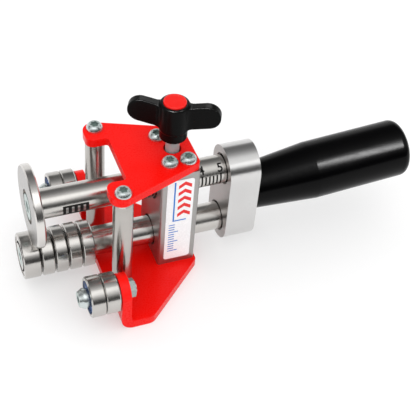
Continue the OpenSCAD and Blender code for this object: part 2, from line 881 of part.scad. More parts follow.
module disc_screw() {
    color(ZINC) along_x(upper_tip - bush_l, 0, upper_z) rotate([180, 0, 0])
        flat_screw(disc_screw_d, bush_l + screw_tail, disc_head_d, disc_head_t, 1.6 * socket_d);
}

module roller_retainer() {
    washer_d = roller_bore + roller_ring;
    color(BRIGHT) along_x(roller_front, 0, lower_z) difference() {
        cylinder(d = washer_d, h = retainer_t);
        translate([0, 0, -retainer_t]) cylinder(d = roller_screw_d + 2 * seat_fit, h = 3 * retainer_t);
        translate([0, 0, -roller_head_t]) cylinder(d = roller_head_d + 2 * seat_fit, h = 2 * roller_head_t);
    }
}

module roller_screw() {
    color(ZINC) along_x(roller_front + roller_head_t, 0, lower_z) rotate([180, 0, 0])
        flat_screw(roller_screw_d, screw_tail, roller_head_d, roller_head_t, 1.2 * socket_d);
}

module roller_shims() {
    shim_d = roller_bore + 2 * roller_ring;
    color(GREY) for (i = [2:roller_count]) at_roller(i) translate([0, 0, -roller_pitch / 2])
        flat_ring(shim_d, roller_bore + 2 * seat_fit, shim_t);
}

module roller_inner_rings() {
    color(BRIGHT) difference() {
        for (i = ROLLERS) at_roller(i) inner_ring(roller_d, roller_bore, roller_width(i), roller_ring);
        along_x(lower_tip - 2 * retainer_t, 0, lower_z) cylinder(d = roller_d, h = 2 * retainer_t);
    }
}

module roller_balls() {
    color(BRIGHT) for (i = ROLLERS) at_roller(i) balls(roller_d, roller_bore, roller_ring);
}

module roller(i) {
    color(BRIGHT) at_roller(i) outer_ring(roller_d, roller_bore, roller_width(i), roller_ring);
}

module roller_shields(i) {
    color(GREY) at_roller(i) shields(roller_d, roller_bore, roller_width(i), roller_ring);
}

module clamp_pad() {
    color(BRASS) translate([0, 0, pad_z]) cylinder(d = stud_d - 2 * end_play, h = pad_t);
}

module clamp_stud() {
    color(ZINC) translate([0, 0, stud_foot])
        rod(stud_d, knob_z + hub_stud - tail_room - stud_foot, end_bevel);
}

// Plan of the curves between one wing and the hub
module wing_roots() {
    hub_r = hub_d / 2;
    across = wing_t / 2 + wing_fillet;
    along = sqrt((hub_r + wing_fillet) ^ 2 - across ^ 2);
    for (y = [0, 1]) mirror([0, y]) difference() {
        polygon([[0, 0], [along, 0], [along, across]]);
        translate([along, across]) circle(r = wing_fillet + seat_fit);
    }
}

// Side view of one wing: a band with a round tip that rises from the hub
module wing_side() {
    tip_r = wing_h / 2;
    reach = wing_span / 2 - tip_r;
    translate([reach, wing_foot + tip_r]) rotate(wing_rise) {
        circle(r = tip_r);
        translate([-reach, -tip_r]) square([reach, wing_h]);
    }
}

// Solid of one wing's side view with thickness t
module wing_slab(t) {
    translate([0, t / 2, 0]) rotate([90, 0, 0]) linear_extrude(t) wing_side();
}

module wing_knob() {
    hub_r = hub_d / 2;
    color(BLACK) translate([0, 0, knob_z]) difference() {
        union() {
            rotate_extrude() rounded_outline([
                [0, 0, 0], [hub_r - hub_foot_in, 0, 0], [hub_r - hub_foot_in, hub_foot_h, 0],
                [hub_r, hub_foot_h + hub_foot_in, 0], [hub_r, hub_h, hub_edge], [0, hub_h, 0]
            ]);
            for (a = [0, 180]) rotate(wing_turn + a) {
                wing_slab(wing_t);
                intersection() {
                    linear_extrude(2 * hub_h) wing_roots();
                    wing_slab(2 * hub_d);
                }
            }
        }
        translate([0, 0, hub_h - cap_seat]) cylinder(d = cap_d + 2 * seat_fit, h = hub_h);
        translate([0, 0, -hub_h]) cylinder(d = stud_d + 2 * seat_fit, h = hub_h + hub_stud);
    }
}

module knob_cap() {
    cap_r = cap_d / 2;
    dome_r = (cap_r * cap_r + cap_rise * cap_rise) / (2 * cap_rise);
    color(RED) translate([0, 0, knob_z + hub_h]) {
        translate([0, 0, -cap_seat]) cylinder(r = cap_r, h = cap_seat);
        intersection() {
            translate([0, 0, cap_rise - dome_r]) sphere(r = dome_r);
            cylinder(r = cap_r, h = cap_rise);
        }
    }
}

base_plate();
top_plate();
guide_block();
post(-1);  // near_post
post(1);  // far_post
label_plate();
top_block_screws();
top_post_screws();
base_block_screws();
base_post_screws();
guide_bolts();
guide_nuts();
guide_spacers();
guide_inner_rings();
guide_balls();
guide_cages();
upper_shaft();
lower_shaft();
yoke();
set_screws();
handle();
handle_stud();
disc_bush();
disc_screw();
roller_retainer();
roller_screw();
roller_shims();
roller_inner_rings();
roller_balls();
bending_disc();
for (i = ROLLERS) {
    roller(i);
    roller_shields(i);
}
for (s = SIDES) for (p = PLACES) {
    guide_bearing(s, p);
}
clamp_pad();
clamp_stud();
wing_knob();
knob_cap();
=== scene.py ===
"""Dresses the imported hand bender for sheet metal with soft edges, finishes, marks, light and camera."""

import json
import logging
import math
from contextlib import contextmanager
from dataclasses import dataclass, field, replace
from enum import Enum
from typing import Callable, Iterator

import bmesh
import bpy
from mathutils import Matrix, Vector

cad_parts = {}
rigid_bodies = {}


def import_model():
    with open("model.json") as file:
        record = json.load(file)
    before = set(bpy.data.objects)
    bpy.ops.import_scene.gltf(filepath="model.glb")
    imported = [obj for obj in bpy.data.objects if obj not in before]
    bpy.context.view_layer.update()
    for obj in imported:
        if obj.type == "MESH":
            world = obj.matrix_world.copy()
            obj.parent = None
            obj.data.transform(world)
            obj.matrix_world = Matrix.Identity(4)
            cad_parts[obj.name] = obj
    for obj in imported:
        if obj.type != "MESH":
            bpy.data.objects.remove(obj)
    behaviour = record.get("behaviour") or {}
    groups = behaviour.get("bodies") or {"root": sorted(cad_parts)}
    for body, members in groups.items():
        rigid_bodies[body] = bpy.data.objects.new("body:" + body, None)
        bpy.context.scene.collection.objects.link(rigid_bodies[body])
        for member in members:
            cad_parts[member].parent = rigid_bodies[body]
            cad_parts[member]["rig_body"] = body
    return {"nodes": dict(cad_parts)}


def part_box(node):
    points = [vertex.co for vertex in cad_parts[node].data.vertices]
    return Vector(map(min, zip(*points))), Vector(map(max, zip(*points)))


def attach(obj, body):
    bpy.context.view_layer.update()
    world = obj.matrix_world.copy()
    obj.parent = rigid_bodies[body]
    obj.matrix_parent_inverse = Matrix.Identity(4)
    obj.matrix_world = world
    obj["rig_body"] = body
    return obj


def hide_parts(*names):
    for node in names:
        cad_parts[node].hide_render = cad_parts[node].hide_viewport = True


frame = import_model()

LOG = logging.getLogger("hand_bender")
MM = 0.001
Colour = tuple[float, float, float]
Point = tuple[float, float, float]
Span = tuple[float, float]
Piece = bpy.types.Object
Plug = bpy.types.NodeSocket

# Directions in which screws open, and the turn that stands a pattern's X axis upright
UP: Point = (0.0, 0.0, 1.0)
FRONT: Point = (-1.0, 0.0, 0.0)
UPRIGHT: Point = (0.0, -90.0, 0.0)

# Coordinates that run along the shafts and along the posts
ALONG_X, ALONG_Z = 0, 2

# Colour sockets of a Mix node: its two inputs and its result
MIX_A, MIX_B, MIX_RESULT = 6, 7, 2

# Distances in metres at which points are merged, on solids and on thin marks
MERGE = 1e-6
FINE_MERGE = 1e-7

# Distance in metres within which a point counts as lying on a plane
NEAR = 1e-5

# Decimals of a millimetre that are kept of an axis, because the box of a faceted cylinder is slightly off it
AXIS_DECIMALS = 2


def axis_mm(node: str, along: int = ALONG_X) -> Point:
    """Gives the point of a round CAD node's axis that is level with the origin.

    Args:
        node: The node.
        along: The coordinate that runs along the axis.

    Returns:
        The point in millimetres.
    """
    low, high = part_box(node)
    middle = [round(value, AXIS_DECIMALS) for value in (low + high) / (2.0 * MM)]
    middle[along] = 0.0
    return tuple(middle)


class Pattern(Enum):
    """Kinds of fine marks that a finish can carry."""

    GRAIN = "fine grain"
    TURNED = "turning marks"
    BRUSHED = "brushed lines"


class Element(Enum):
    """Mesh elements that can be picked in edit mode."""

    VERT = "VERT"
    EDGE = "EDGE"
    FACE = "FACE"


class Wiring:
    """A shader node tree with short ways to add and join nodes."""

    NOISE_SPAN: Span = (0.3, 0.7)

    def __init__(self, tree: bpy.types.NodeTree) -> None:
        """Keeps the tree that is wired."""
        self.tree = tree

    def add(self, kind: str, **settings: object) -> bpy.types.Node:
        """Adds a node.

        Args:
            kind: The node's type name.
            settings: Properties to set on the node.

        Returns:
            The new node.
        """
        node = self.tree.nodes.new(kind)
        for key, value in settings.items():
            setattr(node, key, value)
        return node

    def join(self, source: Plug, target: Plug) -> None:
        """Links an output socket to an input socket."""
        self.tree.links.new(source, target)

    def feed(self, target: Plug, value: Plug | Colour | float) -> None:
        """Links an input socket to another, or sets it.

        Args:
            target: The input socket.
            value: The socket to link, or the colour or number to set.
        """
        if isinstance(value, Plug):
            self.join(value, target)
        elif isinstance(value, tuple):
            target.default_value = (*value, 1.0)
        else:
            target.default_value = value

    def calc(self, operation: str, *values: Plug | float, clamp: bool = False) -> Plug:
        """Adds a calculation.

        Args:
            operation: The name of its operation.
            values: Its inputs in order.
            clamp: Whether the result stays between 0 and 1.

        Returns:
            The socket of the result.
        """
        node = self.add("ShaderNodeMath", operation=operation, use_clamp=clamp)
        for socket, value in zip(node.inputs, values):
            self.feed(socket, value)
        return node.outputs["Value"]

    def mix(self, factor: Plug, first: Plug | Colour, second: Plug | Colour) -> Plug:
        """Blends two colours.

        Args:
            factor: Socket that is 0 for the first colour and 1 for the second.
            first: The first colour or its socket.
            second: The second colour or its socket.

        Returns:
            The socket of the blended colour.
        """
        node = self.add("ShaderNodeMix", data_type="RGBA")
        self.join(factor, node.inputs["Factor"])
        self.feed(node.inputs[MIX_A], first)
        self.feed(node.inputs[MIX_B], second)
        return node.outputs[MIX_RESULT]

    def stretch(self, source: Plug, span: Span, new_span: Span = (0.0, 1.0)) -> Plug:
        """Maps a value from one range to another.

        Args:
            source: The value's socket.
            span: Values that become the ends of the new range.
            new_span: Ends of the new range.

        Returns:
            The socket of the mapped value.
        """
        node = self.add("ShaderNodeMapRange")
        for key, value in zip(("From Min", "From Max", "To Min", "To Max"), (*span, *new_span)):
            node.inputs[key].default_value = value
        self.join(source, node.inputs["Value"])
        return node.outputs["Result"]

    def noise(self, vector: Plug, scale: Plug, octaves: float) -> Plug:
        """Adds a noise whose values fill the range from 0 to 1.

        Args:
            vector: Socket of the place on the surface.
            scale: Socket of the noise's scale.
            octaves: Octaves of finer noise.

        Returns:
            The socket of the noise's value.
        """
        node = self.add("ShaderNodeTexNoise")
        node.inputs["Detail"].default_value = octaves
        self.join(vector, node.inputs["Vector"])
        self.join(scale, node.inputs["Scale"])
        return self.stretch(node.outputs["Fac"], self.NOISE_SPAN)


class MarkGroups:
    """Shader groups for marks that several finishes share, each built once."""

    GRAIN_OCTAVES = 2.0
    LINE_OCTAVES = 3.0
    BROAD_OCTAVES = 3.0
    SMEAR_OCTAVES = 4.0
    SMEAR_SPAN: Span = (0.55, 1.0)
    LINE_SQUEEZE: Point = (0.02, 1.0, 1.0)

    def __init__(self) -> None:
        """Builds a group for each pattern, and one for smears."""
        self._groups = {
            Pattern.GRAIN: self._marks("fine_grain", lambda wiring, vector: vector, self.GRAIN_OCTAVES),
            Pattern.TURNED: self._marks("turning_marks", self._rings, self.LINE_OCTAVES),
            Pattern.BRUSHED: self._marks("brushed_lines", self._lines, self.LINE_OCTAVES),
        }
        self.smears = self._smears()

    def of(self, pattern: Pattern) -> bpy.types.NodeTree:
        """Gives the group that draws a pattern."""
        return self._groups[pattern]

    @staticmethod
    def _open(name: str, values: tuple[str, ...], results: tuple[str, ...]) -> tuple[Wiring, dict, dict]:
        """Starts a group with a vector input.

        Args:
            name: Name of the group.
            values: Names of its number inputs.
            results: Names of its number outputs.

        Returns:
            The group's wiring, its input sockets and its output sockets by name.
        """
        tree = bpy.data.node_groups.new(name, "ShaderNodeTree")
        tree.interface.new_socket(name="Vector", in_out="INPUT", socket_type="NodeSocketVector")
        for value in values:
            tree.interface.new_socket(name=value, in_out="INPUT", socket_type="NodeSocketFloat")
        for result in results:
            tree.interface.new_socket(name=result, in_out="OUTPUT", socket_type="NodeSocketFloat")
        wiring = Wiring(tree)
        entry = {socket.name: socket for socket in wiring.add("NodeGroupInput").outputs if socket.name}
        leave = {socket.name: socket for socket in wiring.add("NodeGroupOutput").inputs if socket.name}
        return wiring, entry, leave

    @classmethod
    def _marks(cls, name: str, shape: Callable[[Wiring, Plug], Plug], octaves: float) -> bpy.types.NodeTree:
        """Builds fine marks on a reshaped vector, and broad mottling.

        Args:
            name: Name of the group.
            shape: Reshapes the vector so that the noise becomes the marks.
            octaves: Octaves of the fine marks.

        Returns:
            The group.
        """
        wiring, give, take = cls._open(name, ("Fine Scale", "Broad Scale"), ("Fine", "Broad"))
        shaped = shape(wiring, give["Vector"])
        wiring.join(wiring.noise(shaped, give["Fine Scale"], octaves), take["Fine"])
        wiring.join(wiring.noise(give["Vector"], give["Broad Scale"], cls.BROAD_OCTAVES), take["Broad"])
        return wiring.tree

    @staticmethod
    def _rings(wiring: Wiring, vector: Plug) -> Plug:
        """Reshapes a vector for rings round its X axis, as a lathe or grinder leaves them.

        Args:
            wiring: The group's wiring.
            vector: Socket of the vector.

        Returns:
            The socket of the place along the axis and the distance from it.
        """
        split = wiring.add("ShaderNodeSeparateXYZ")
        wiring.join(vector, split.inputs["Vector"])
        flat = wiring.add("ShaderNodeCombineXYZ")
        wiring.join(split.outputs["Y"], flat.inputs["Y"])
        wiring.join(split.outputs["Z"], flat.inputs["Z"])
        radius = wiring.add("ShaderNodeVectorMath", operation="LENGTH")
        wiring.join(flat.outputs["Vector"], radius.inputs[0])
        ring = wiring.add("ShaderNodeCombineXYZ")
        wiring.join(split.outputs["X"], ring.inputs["X"])
        wiring.join(radius.outputs["Value"], ring.inputs["Y"])
        return ring.outputs["Vector"]

    @classmethod
    def _lines(cls, wiring: Wiring, vector: Plug) -> Plug:
        """Reshapes a vector for lines along its X axis, as a belt or brush leaves them.

        Args:
            wiring: The group's wiring.
            vector: Socket of the vector.

        Returns:
            The socket of the squeezed vector.
        """
        squeeze = wiring.add("ShaderNodeVectorMath", operation="MULTIPLY")
        squeeze.inputs[1].default_value = cls.LINE_SQUEEZE
        wiring.join(vector, squeeze.inputs[0])
        return squeeze.outputs["Vector"]

    @classmethod
    def _smears(cls) -> bpy.types.NodeTree:
        """Builds the faint smears of handling that dull a polished surface here and there.

        Returns:
            The group.
        """
        wiring, give, take = cls._open("hand_smears", ("Scale",), ("Smear",))
        spread = wiring.noise(give["Vector"], give["Scale"], cls.SMEAR_OCTAVES)
        wiring.join(wiring.stretch(spread, cls.SMEAR_SPAN), take["Smear"])
        return wiring.tree


@dataclass(frozen=True)
class Finish:
    """One finish of the object, as values for its procedural material.

    The colour runs from dark to light in broad patches. The roughness follows the fine marks, which stand
    out by the relief, and rises where the surface is smeared.
    """

    name: str
    slot: str
    light: Colour
    dark: Colour
    metallic: float = 0.0
    specular: float = 0.5
    rough: Span = (0.2, 0.3)
    smear: float = 0.04
    pattern: Pattern = Pattern.GRAIN
    fine: float = 1500.0
    broad: float = 60.0
    relief_mm: float = 0.004
    centre_mm: Point = (0.0, 0.0, 0.0)
    turn_deg: Point = (0.0, 0.0, 0.0)

    def material(self, groups: MarkGroups) -> bpy.types.Material:
        """Builds the material.

        Args:
            groups: The shared shader groups.

        Returns:
            The material, with its nodes wired.
        """
        material = bpy.data.materials.new(self.name)
        material.use_nodes = True
        wiring = Wiring(material.node_tree)
        shader = material.node_tree.nodes["Principled BSDF"]
        shader.inputs["Metallic"].default_value = self.metallic
        shader.inputs["Specular IOR Level"].default_value = self.specular
        place = wiring.add("ShaderNodeTexCoord")
        lay = wiring.add("ShaderNodeMapping", vector_type="TEXTURE")
        lay.inputs["Location"].default_value = [value * MM for value in self.centre_mm]
        lay.inputs["Rotation"].default_value = [math.radians(value) for value in self.turn_deg]
        wiring.join(place.outputs["Object"], lay.inputs["Vector"])
        marks = wiring.add("ShaderNodeGroup", node_tree=groups.of(self.pattern))
        marks.inputs["Fine Scale"].default_value = self.fine
        marks.inputs["Broad Scale"].default_value = self.broad
        wiring.join(lay.outputs["Vector"], marks.inputs["Vector"])
        smears = wiring.add("ShaderNodeGroup", node_tree=groups.smears)
        smears.inputs["Scale"].default_value = self.broad
        wiring.join(lay.outputs["Vector"], smears.inputs["Vector"])
        tint = wiring.mix(marks.outputs["Broad"], self.dark, self.light)
        wiring.join(tint, shader.inputs["Base Color"])
        rough = wiring.stretch(marks.outputs["Fine"], (0.0, 1.0), self.rough)
        dulled = wiring.calc("MULTIPLY_ADD", smears.outputs["Smear"], self.smear, rough)
        wiring.join(dulled, shader.inputs["Roughness"])
        bump = wiring.add("ShaderNodeBump")
        bump.inputs["Distance"].default_value = self.relief_mm * MM
        wiring.join(marks.outputs["Fine"], bump.inputs["Height"])
        wiring.join(bump.outputs["Normal"], shader.inputs["Normal"])
        return material

    def about(self, node: str, name: str = "", along: int = ALONG_X) -> "Finish":
        """Gives the same finish with its rings about the axis of a round CAD node.

        Args:
            node: The node.
            name: Name of the new finish, or nothing to keep the name.
            along: The coordinate that runs along the axis.

        Returns:
            The new finish.
        """
        turn = UPRIGHT if along == ALONG_Z else self.turn_deg
        return replace(self, name=name or self.name, centre_mm=axis_mm(node, along), turn_deg=turn)


RED_PAINT = Finish(
    "red_powder_paint", "red_paint", (0.95, 0.0045, 0.0018), (0.91, 0.0035, 0.0012), specular=0.2,
    rough=(0.26, 0.30), smear=0.01, fine=1400.0, broad=45.0, relief_mm=0.0006)
BLOCK_GREY = Finish(
    "ground_grey_block", "block_grey", (0.42, 0.415, 0.405), (0.37, 0.365, 0.355), metallic=1.0,
    rough=(0.30, 0.42), pattern=Pattern.BRUSHED, fine=4200.0, broad=50.0, relief_mm=0.002, turn_deg=UPRIGHT)
SHAFT_STEEL = Finish(
    "ground_shaft_steel", "polished_steel", (0.61, 0.592, 0.565), (0.56, 0.542, 0.518), metallic=1.0,
    rough=(0.17, 0.24), pattern=Pattern.TURNED, fine=2600.0, broad=70.0, relief_mm=0.0008)
POST_STEEL = replace(
    SHAFT_STEEL, name="drawn_post_steel", light=(0.52, 0.498, 0.472), dark=(0.46, 0.440, 0.417),
    rough=(0.16, 0.22))
BEARING_STEEL = Finish(
    "ground_bearing_steel", "bearing_steel", (0.56, 0.543, 0.520), (0.505, 0.489, 0.469), metallic=1.0,
    rough=(0.14, 0.20), pattern=Pattern.TURNED, fine=3600.0, broad=110.0, relief_mm=0.001)
# The disc's face and rim are a dark and a light copy of one steel: painted shade on the face, a painted
# highlight on the rim
DISC_STEEL = Finish(
    "turned_disc_steel_painted_shade", "disc_steel", (0.43, 0.419, 0.406), (0.385, 0.374, 0.362), metallic=1.0,
    rough=(0.24, 0.34), pattern=Pattern.TURNED, fine=3000.0, broad=70.0, relief_mm=0.0016)
RIM_STEEL = replace(
    DISC_STEEL, name="ground_rim_steel_painted_highlight", light=(0.72, 0.70, 0.675), dark=(0.66, 0.64, 0.618),
    rough=(0.14, 0.20), relief_mm=0.0008)
SHIELD_STEEL = Finish(
    "pressed_shield_steel", "shield_steel", (0.46, 0.45, 0.435), (0.38, 0.37, 0.36), metallic=1.0,
    rough=(0.26, 0.36), fine=2200.0, broad=140.0, relief_mm=0.001)
# Black steel of the set screws; on the roller shims it is painted shade in the gaps between the rollers
DARK_STEEL = Finish(
    "blackened_steel_and_gap_shade", "dark_steel", (0.030, 0.029, 0.028), (0.018, 0.017, 0.017), metallic=0.4,
    specular=0.3, rough=(0.45, 0.60), fine=2400.0, broad=120.0, relief_mm=0.002)
ZINC_STEEL = Finish(
    "bright_zinc_plating", "zinc_steel", (0.66, 0.71, 0.705), (0.58, 0.63, 0.625), metallic=1.0,
    rough=(0.20, 0.30), fine=2600.0, broad=220.0, relief_mm=0.001)
FLAT_ZINC = replace(
    ZINC_STEEL, name="satin_zinc_head", light=(0.56, 0.64, 0.62), dark=(0.51, 0.585, 0.565), metallic=0.5,
    rough=(0.34, 0.44))
# A dark copy of the zinc: painted shade on the floors of the screws' sockets
SOCKET_SHADE_ZINC = replace(
    ZINC_STEEL, name="zinc_socket_painted_shade", light=(0.20, 0.27, 0.245), dark=(0.15, 0.21, 0.19), metallic=0.4,
    rough=(0.36, 0.48))
NUT_ZINC = replace(
    ZINC_STEEL, name="dull_nut_zinc", light=(0.37, 0.42, 0.41), dark=(0.31, 0.36, 0.35), rough=(0.24, 0.34))
STUD_ZINC = replace(
    ZINC_STEEL, name="satin_stud_zinc", light=(0.44, 0.53, 0.53), dark=(0.38, 0.46, 0.46), metallic=0.3,
    rough=(0.30, 0.42))
CAGE_BLUE = Finish(
    "blue_cage", "cage_blue", (0.13, 0.24, 0.55), (0.10, 0.19, 0.46), rough=(0.32, 0.44), fine=2600.0,
    broad=160.0, relief_mm=0.003)
YOKE_ALUMINIUM = Finish(
    "satin_yoke_aluminium", "yoke_aluminium", (0.70, 0.695, 0.69), (0.65, 0.645, 0.64), metallic=1.0,
    rough=(0.18, 0.27), pattern=Pattern.BRUSHED, fine=3600.0, broad=40.0, relief_mm=0.002, turn_deg=UPRIGHT)
# A darker copy of the yoke's aluminium for its front face: painted shade, with turning marks
MILLED_AND_SHADED_YOKE_FACE = Finish(
    "milled_yoke_face_painted_shade", "yoke_aluminium", (0.42, 0.395, 0.385), (0.36, 0.335, 0.325), metallic=1.0,
    rough=(0.26, 0.38), pattern=Pattern.TURNED, fine=2400.0, broad=60.0, relief_mm=0.0015)
HANDLE_BLACK = Finish(
    "gloss_handle_black", "handle_black", (0.0004, 0.0004, 0.0005), (0.0002, 0.0002, 0.0003), specular=0.10,
    rough=(0.18, 0.23), smear=0.05, fine=900.0, broad=35.0, relief_mm=0.0006)
KNOB_BLACK = Finish(
    "moulded_knob_black", "knob_black", (0.0004, 0.0004, 0.0004), (0.0003, 0.0003, 0.0003), specular=0.07,
    rough=(0.26, 0.34), fine=2600.0, broad=90.0, relief_mm=0.002)
CAP_RED = Finish(
    "gloss_cap_red", "cap_red", (0.86, 0.012, 0.008), (0.80, 0.009, 0.006), specular=0.4,
    rough=(0.18, 0.26), fine=1600.0, broad=90.0, relief_mm=0.002)
BRASS = Finish(
    "sawn_brass", "brass", (0.72, 0.52, 0.22), (0.62, 0.44, 0.18), metallic=1.0, rough=(0.25, 0.38),
    fine=2400.0, broad=140.0)
LABEL_WHITE = Finish(
    "label_film", "label_white", (0.96, 0.975, 0.985), (0.94, 0.955, 0.965), rough=(0.22, 0.30),
    fine=1200.0, relief_mm=0.002)
INK_BLUE = Finish(
    "blue_print", "label_white", (0.004, 0.19, 0.66), (0.003, 0.16, 0.58), rough=(0.26, 0.36),
    fine=1600.0, broad=120.0, relief_mm=0.001)
INK_RED = replace(INK_BLUE, name="red_print", light=(0.84, 0.008, 0.008), dark=(0.76, 0.006, 0.006))
INK_BLACK = Finish(
    "etched_mark", "dark_steel", (0.012, 0.011, 0.010), (0.007, 0.006, 0.006), specular=0.2,
    rough=(0.50, 0.65), fine=3000.0, broad=300.0, relief_mm=0.002)


class Paints:
    """Materials of the finishes, each built when it is first used."""

    def __init__(self) -> None:
        """Builds the shared shader groups."""
        self.groups = MarkGroups()
        self._made: dict[str, bpy.types.Material] = {}

    def add(self, obj: Piece, finish: Finish) -> None:
        """Adds a finish to an object's materials.

        Args:
            obj: The object.
            finish: The finish.
        """
        if finish.name not in self._made:
            self._made[finish.name] = finish.material(self.groups)
        obj.data.materials.append(self._made[finish.name])

    def coat(self, obj: Piece, finish: Finish) -> None:
        """Gives an object one finish all over and reports it.

        Args:
            obj: A new piece or a CAD node.
            finish: The finish.
        """
        obj.data.materials.clear()
        self.add(obj, finish)
        LOG.info("%s: %s", obj.name, finish.name)

    def clothe(self, piece: Piece, finish: Finish) -> None:
        """Gives a new piece its finish.

        Args:
            piece: The piece.
            finish: The finish.
        """
        self.coat(piece, finish)

    def dress(self, nodes: str, finish: Finish) -> None:
        """Gives CAD nodes that stay in view a finish.

        Args:
            nodes: Names of the nodes, split by spaces.
            finish: The finish.
        """
        for node in nodes.split():
            self.coat(frame["nodes"][node], finish)


class Bench:
    """Tools that work on one mesh at a time, as by hand."""

    FLAT_DEG = 0.5
    SHARP_DEG = 32.0
    SMOOTH_DEG = 40.0
    FLAT_WEIGHT = 80

    @staticmethod
    def clear() -> None:
        """Leaves edit mode and deselects everything."""
        if bpy.context.object and bpy.context.object.mode != "OBJECT":
            bpy.ops.object.mode_set(mode="OBJECT")
        bpy.ops.object.select_all(action="DESELECT")

    @staticmethod
    def take(obj: Piece) -> None:
        """Makes an object the only one selected, and active.

        Args:
            obj: The object.
        """
        Bench.clear()
        obj.select_set(True)
        bpy.context.view_layer.objects.active = obj

    @staticmethod
    @contextmanager
    def editing(obj: Piece, element: Element = Element.FACE) -> Iterator[None]:
        """Opens an object in edit mode with everything selected.

        Args:
            obj: The object.
            element: The kind of element that is picked.

        Returns:
            A context that leaves edit mode at its end.
        """
        Bench.take(obj)
        bpy.ops.object.mode_set(mode="EDIT")
        bpy.ops.mesh.select_mode(type=element.value)
        bpy.ops.mesh.select_all(action="SELECT")
        yield
        bpy.ops.object.mode_set(mode="OBJECT")

    @staticmethod
    def pick(obj: Piece, test: Callable[[Vector], bool]) -> None:
        """Selects the vertices at places that pass a test, in edit mode.

        Args:
            obj: The object that is being edited.
            test: Says whether a place is picked.
        """
        bpy.ops.mesh.select_all(action="DESELECT")
        mesh = bmesh.from_edit_mesh(obj.data)
        for vert in mesh.verts:
            vert.select_set(test(vert.co))
        mesh.select_flush(True)
        bmesh.update_edit_mesh(obj.data)

    @staticmethod
    def modify(obj: Piece, kind: str, **settings: object) -> None:
        """Adds a modifier and applies it.

        Args:
            obj: The object.
            kind: The modifier's type.
            settings: Its settings.
        """
        Bench.take(obj)
        modifier = obj.modifiers.new(kind.lower(), kind)
        for key, value in settings.items():
            setattr(modifier, key, value)
        bpy.ops.object.modifier_apply(modifier=modifier.name)

    @staticmethod
    def smooth(obj: Piece, degrees: float = SMOOTH_DEG) -> None:
        """Shades an object smooth across edges flatter than an angle, with its flat faces kept flat.

        Args:
            obj: The object.
            degrees: The angle.
        """
        Bench.take(obj)
        bpy.ops.object.shade_smooth_by_angle(angle=math.radians(degrees), keep_sharp_edges=False)
        Bench.modify(obj, "WEIGHTED_NORMAL", keep_sharp=True, weight=Bench.FLAT_WEIGHT)

    @staticmethod
    def settle(obj: Piece, name: str) -> Piece:
        """Puts an object's place into its mesh and names it.

        Args:
            obj: The object.
            name: Its name.

        Returns:
            The same object.
        """
        Bench.take(obj)
        bpy.ops.object.transform_apply(location=True, rotation=True, scale=True)
        obj.name = name
        return obj

    @staticmethod
    def unite(parts: list[Piece], name: str) -> Piece:
        """Joins objects into one.

        Args:
            parts: The objects.
            name: Name of the joined object.

        Returns:
            The joined object.
        """
        Bench.clear()
        for part in parts:
            part.select_set(True)
        bpy.context.view_layer.objects.active = parts[0]
        bpy.ops.object.join()
        return Bench.settle(parts[0], name)

    @staticmethod
    def row(obj: Piece, shifts_mm: list[Point]) -> list[Piece]:
        """Copies an object, each copy with its own mesh, and removes the first one.

        Args:
            obj: The object.
            shifts_mm: Distances of the copies from it.

        Returns:
            The copies.
        """
        copies = []
        for shift in shifts_mm:
            copy = bpy.data.objects.new(obj.name, obj.data.copy())
            bpy.context.scene.collection.objects.link(copy)
            copy.data.transform(Matrix.Translation(Vector(shift) * MM))
            copies.append(copy)
        bpy.data.objects.remove(obj)
        return copies

    @staticmethod
    def node_copy(node: str, name: str) -> Piece:
        """Copies a CAD node as a closed mesh with its flat faces whole, and lets the copy stand for it.

        Args:
            node: The node.
            name: Name of the copy.

        Returns:
            The copy, which rides on the node's body.
        """
        obj = bpy.data.objects.new(name, frame["nodes"][node].data.copy())
        bpy.context.scene.collection.objects.link(obj)
        Bench.take(obj)
        bpy.ops.mesh.customdata_custom_splitnormals_clear()
        with Bench.editing(obj, Element.VERT):
            bpy.ops.mesh.remove_doubles(threshold=MERGE)
            bpy.ops.mesh.dissolve_limited(angle_limit=math.radians(Bench.FLAT_DEG))
        return Bench.stand_for(obj, node)

    @staticmethod
    def soft_copy(node: str, name: str, edge_mm: float, steps: int = 3) -> Piece:
        """Copies a CAD node with its sharp edges rounded.

        Args:
            node: The node.
            name: Name of the copy.
            edge_mm: Size of the rounding.
            steps: Faces across the rounding.

        Returns:
            The copy, which stands for the node.
        """
        obj = Bench.node_copy(node, name)
        Bench.modify(obj, "BEVEL", width=edge_mm * MM, segments=steps, limit_method="ANGLE",
                     angle_limit=math.radians(Bench.SHARP_DEG), miter_outer="MITER_ARC")
        Bench.smooth(obj)
        return obj

    @staticmethod
    def stand_for(piece: Piece, node: str) -> Piece:
        """Lets a piece take a CAD node's place, and ride on its body.

        Args:
            piece: The piece.
            node: The node.

        Returns:
            The piece.
        """
        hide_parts(node)
        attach(piece, frame["nodes"][node]["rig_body"])
        return piece


@dataclass
class Plates:
    """The two red plates, with the rounded edges of thick paint."""

    edge_mm: float = 0.8

    def make(self, paints: Paints) -> None:
        """Builds and paints both plates."""
        for node in ("base_plate", "top_plate"):
            paints.clothe(Bench.soft_copy(node, f"painted_{node}", self.edge_mm), RED_PAINT)


